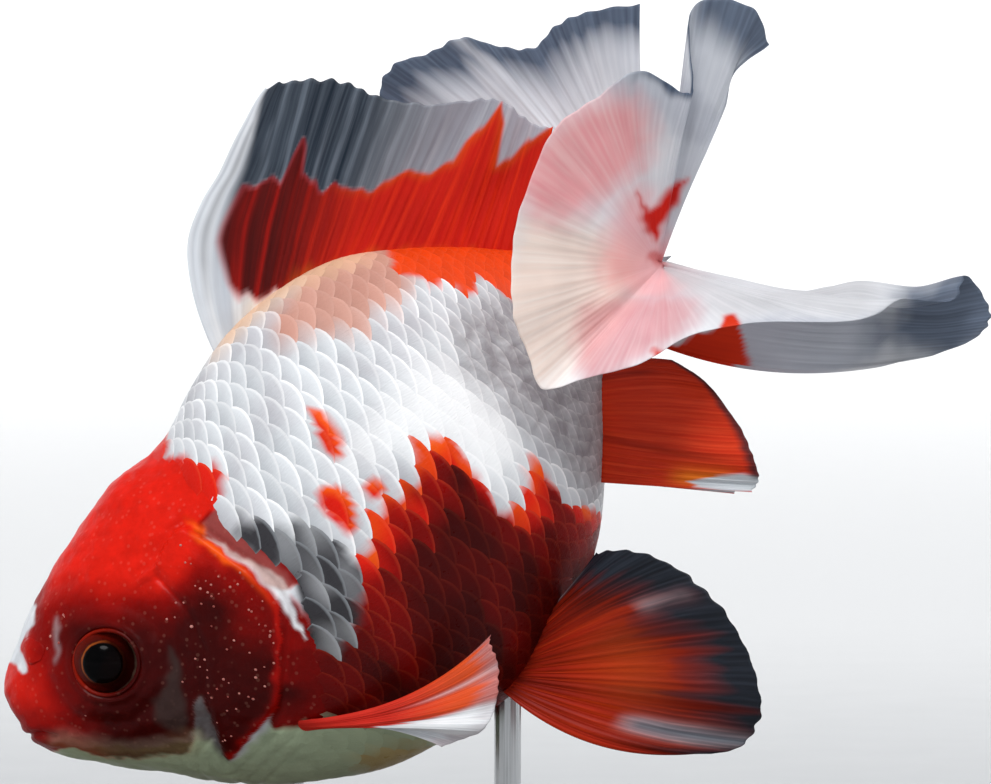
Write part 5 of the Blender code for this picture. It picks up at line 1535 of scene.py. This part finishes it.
def paintEye():
    # Acrylic eye, painted behind a polished dome: black pupil, dark brown iris, a thin gold arc
    material, tree, at = newMaterial("polished acrylic eye")
    away = addNode(tree, "Attribute", attribute_name="fromPupil").outputs["Fac"]
    upper = addNode(tree, "Attribute", attribute_name="upper").outputs["Fac"]
    fibre = addNode(tree, "TexNoise", {"Vector": at, "Scale": 900.0, "Detail": 4.0})
    wander = addNode(tree, "Math SUBTRACT", (fibre, 0.5))
    spread = addNode(tree, "Math MULTIPLY_ADD", (wander, 0.35, away))
    share = addNode(tree, "Math DIVIDE", (spread, 6.0))
    iris = addNode(tree, "ValToRGB", {0: share}, stops=(
        (0.0, "#010102"), (0.49, "#020202"), (0.52, "#260705"), (0.62, "#4a0b05"), (0.74, "#5c1007"),
        (0.80, "#4a0d06"), (0.86, "#5a1409"), (1.0, "#4a0f08")))
    shadow = addNode(tree, "MapRange", {0: upper, 1: 0.3, 2: -0.7, 3: 0.0, 4: 0.75})
    iris = addNode(tree, "Mix", (shadow, iris, toLinear("#080202")), data_type="RGBA")
    arc = addNode(tree, "Math ABSOLUTE", [addNode(tree, "Math SUBTRACT", (spread, 3.2))])
    arc = addNode(tree, "MapRange", {0: arc, 1: 0.22, 2: 0.04})
    side = addNode(tree, "MapRange", {0: upper, 1: 0.0, 2: 0.85, 3: 0.03, 4: 0.7})
    colour = addNode(tree, "Mix", (addNode(tree, "Math MULTIPLY", (arc, side)), iris, toLinear("#a8521c")),
                     data_type="RGBA")
    outerArc = addNode(tree, "Math ABSOLUTE", [addNode(tree, "Math SUBTRACT", (spread, 4.75))])
    outerArc = addNode(tree, "MapRange", {0: outerArc, 1: 0.3, 2: 0.05})
    lower = addNode(tree, "MapRange", {0: upper, 1: 0.2, 2: -0.8, 3: 0.0, 4: 0.5})
    colour = addNode(tree, "Mix", (addNode(tree, "Math MULTIPLY", (outerArc, lower)), colour,
                                   toLinear("#c9a58c")), data_type="RGBA")
    rough = addNode(tree, "MapRange", {0: fibre, 3: 0.12, 4: 0.2})
    return finishMaterial(material, colour, rough, None, {
        "IOR": 1.49, "Specular IOR Level": 0.03, "Coat Weight": 0.04, "Coat Roughness": 0.04})


eyeFinish = paintEye()
eyeObjs = {flank: eyePiece("goldfishEye" + word, flank, eyeFinish)
           for flank, word in ((-1, "Left"), (1, "Right"))}
print("eyes made")


# stand: the part's own base and rods, oiled dark wood and brushed steel

def paintWood():
    # Oiled walnut, sanded: long grain along the base, darker pores, satin sheen
    material, tree, at = newMaterial("oiled walnut base")
    stretched = addNode(tree, "Mapping", {"Vector": at, "Scale": (14.0, 190.0, 190.0)})
    warp = addNode(tree, "TexNoise", {"Vector": stretched, "Scale": 1.0, "Detail": 6.0, "Roughness": 0.6})
    tone = addNode(tree, "ValToRGB", {0: warp}, stops=((0.3, "#2b1a10"), (0.5, "#4a2e1c"),
                                                       (0.7, "#6b4529")))
    poreAt = addNode(tree, "Mapping", {"Vector": at, "Scale": (160.0, 2600.0, 2600.0)})
    pore = addNode(tree, "TexNoise", {"Vector": poreAt, "Scale": 1.0, "Detail": 2.0})
    hole = addNode(tree, "MapRange", {0: pore, 1: 0.62, 2: 0.72, 3: 0.0, 4: 0.6})
    colour = addNode(tree, "Mix", (hole, tone, toLinear("#1c110a")), data_type="RGBA")
    height = addNode(tree, "Math SUBTRACT", (warp, hole))
    rough = addNode(tree, "MapRange", {0: warp, 3: 0.36, 4: 0.52})
    return finishMaterial(material, colour, rough, (height, 0.0001, 0.4))


def paintSteel():
    # Stainless rod, brushed along its length
    material, tree, at = newMaterial("brushed stainless rod")
    stretched = addNode(tree, "Mapping", {"Vector": at, "Scale": (3200.0, 3200.0, 60.0)})
    brushed = addNode(tree, "TexNoise", {"Vector": stretched, "Scale": 1.0, "Detail": 3.0})
    tone = addNode(tree, "ValToRGB", {0: brushed}, stops=((0.3, "#a9abad"), (0.7, "#cdcfd1")))
    rough = addNode(tree, "MapRange", {0: brushed, 3: 0.22, 4: 0.38})
    return finishMaterial(material, tone, rough, (brushed, 0.00004, 0.4), {"Metallic": 1.0})


wood, steel = paintWood(), paintSteel()
for name, finish in (("stand_base", wood), ("stand_rod_front", steel), ("stand_rod_rear", steel)):
    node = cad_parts[name]
    node.data.materials.clear()
    node.data.materials.append(finish)
print("stand dressed")


# what each piece stands for

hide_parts("head", "gill_cover_left", "gill_cover_right", "trunk", "tail_stalk",
            "nostril_flap_left", "nostril_flap_right")
for node, obj in finObjs.items():
    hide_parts(node)
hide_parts("eye_left")
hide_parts("eye_right")
for obj in (skinObj, *scaleObjs, starsObj, *finObjs.values(), *eyeObjs.values()):
    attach(obj, "root")
for helper in (plate, bead):
    bpy.data.objects.remove(helper)


# studio: a pale dish of a floor, light from above, a long lens on the left flank

studio = {
    "target": (0.022575, 0.0, 0.0882),
    "distance": 1.032,
    "elevation": 3.0,
    "lens": 250.0,
    "sky": 0.5,
    "top": 2.15,
}


def buildStage():
    material, tree, at = newMaterial("matt white studio card")
    reach = addNode(tree, "VectorMath LENGTH", {0: at}).outputs["Value"]
    fleck = addNode(tree, "TexNoise", {"Vector": at, "Scale": 60.0, "Detail": 3.0})
    reach = addNode(tree, "Math ADD", (addNode(tree, "Math MULTIPLY", (reach, 0.4)),
                                       addNode(tree, "Math MULTIPLY", (fleck, 0.03))))
    # the card is painted darker towards the middle: painted shade round the stand, which also keeps bounce
    # light off the fish's underside
    ramp = addNode(tree, "ValToRGB", {0: reach}, stops=((0.05, "#c2c4c6"), (0.28, "#e2e3e4"),
                                                        (0.9, "#f6f6f6")))
    ramp.color_ramp.interpolation = "EASE"
    finishMaterial(material, ramp, 0.9)
    curve = np.linspace(0.08, 1, 14) * math.pi / 2                    # from the floor up to the wall
    radius = np.concatenate([[0.02, 0.3, 0.8, 1.4, 2.0], 2.2 + 0.9 * np.sin(curve), [3.1]])
    height = np.concatenate([np.zeros(5), 0.9 * (1 - np.cos(curve)), [2.3]])
    sides = 96
    turn = np.linspace(0, 2 * math.pi, sides, endpoint=False)
    points = np.stack([radius[:, None] * np.cos(turn), radius[:, None] * np.sin(turn),
                       height[:, None] + 0 * turn], -1).reshape(-1, 3)
    points = np.concatenate([points, [[0, 0, 0]]])
    middle = hubFaces(len(points) - 1, 0, sides)
    mesh = bpy.data.meshes.new("studioFloor")
    faces = gridFaces(len(radius), sides, True)[:, ::-1].tolist() + middle.tolist()
    mesh.from_pydata(points.tolist(), [], faces)
    mesh.shade_smooth()
    mesh.materials.append(material)
    floor = bpy.data.objects.new("studioFloor", mesh)
    bpy.context.scene.collection.objects.link(floor)


def addLight(name, kind, energy, at, aim, size):
    data = bpy.data.lights.new(name, kind)
    data.energy = energy
    if kind == "AREA":
        data.shape = "DISK"
        data.size = size
    else:
        data.angle = size
    light = bpy.data.objects.new(name, data)
    light.location = at
    light.rotation_euler = (Vector(aim) - Vector(at)).to_track_quat("-Z", "Y").to_euler()
    bpy.context.scene.collection.objects.link(light)


buildStage()
world = bpy.data.worlds.new("softbox")
bpy.context.scene.world = world
world.use_nodes = True
world.node_tree.nodes["Background"].inputs[0].default_value = toLinear("#f3f5f8")
world.node_tree.nodes["Background"].inputs[1].default_value = studio["sky"]
addLight("overhead", "SUN", studio["top"], (-0.35, -1.3, 1.8), (0.0, 0.0, 0.0), math.radians(24))

cameraData = bpy.data.cameras.new("camera")
cameraData.lens = studio["lens"]
cameraData.sensor_width = 36.0
cameraData.clip_start = 0.01
cameraData.clip_end = 20.0
camera = bpy.data.objects.new("camera", cameraData)
lift = math.radians(studio["elevation"])
backwards = Vector((0, -math.cos(lift), math.sin(lift)))
camera.location = Vector(studio["target"]) + studio["distance"] * backwards
camera.rotation_euler = (-backwards).to_track_quat("-Z", "Y").to_euler()
bpy.context.scene.collection.objects.link(camera)
bpy.context.scene.camera = camera
bpy.context.scene.view_settings.view_transform = "Standard"
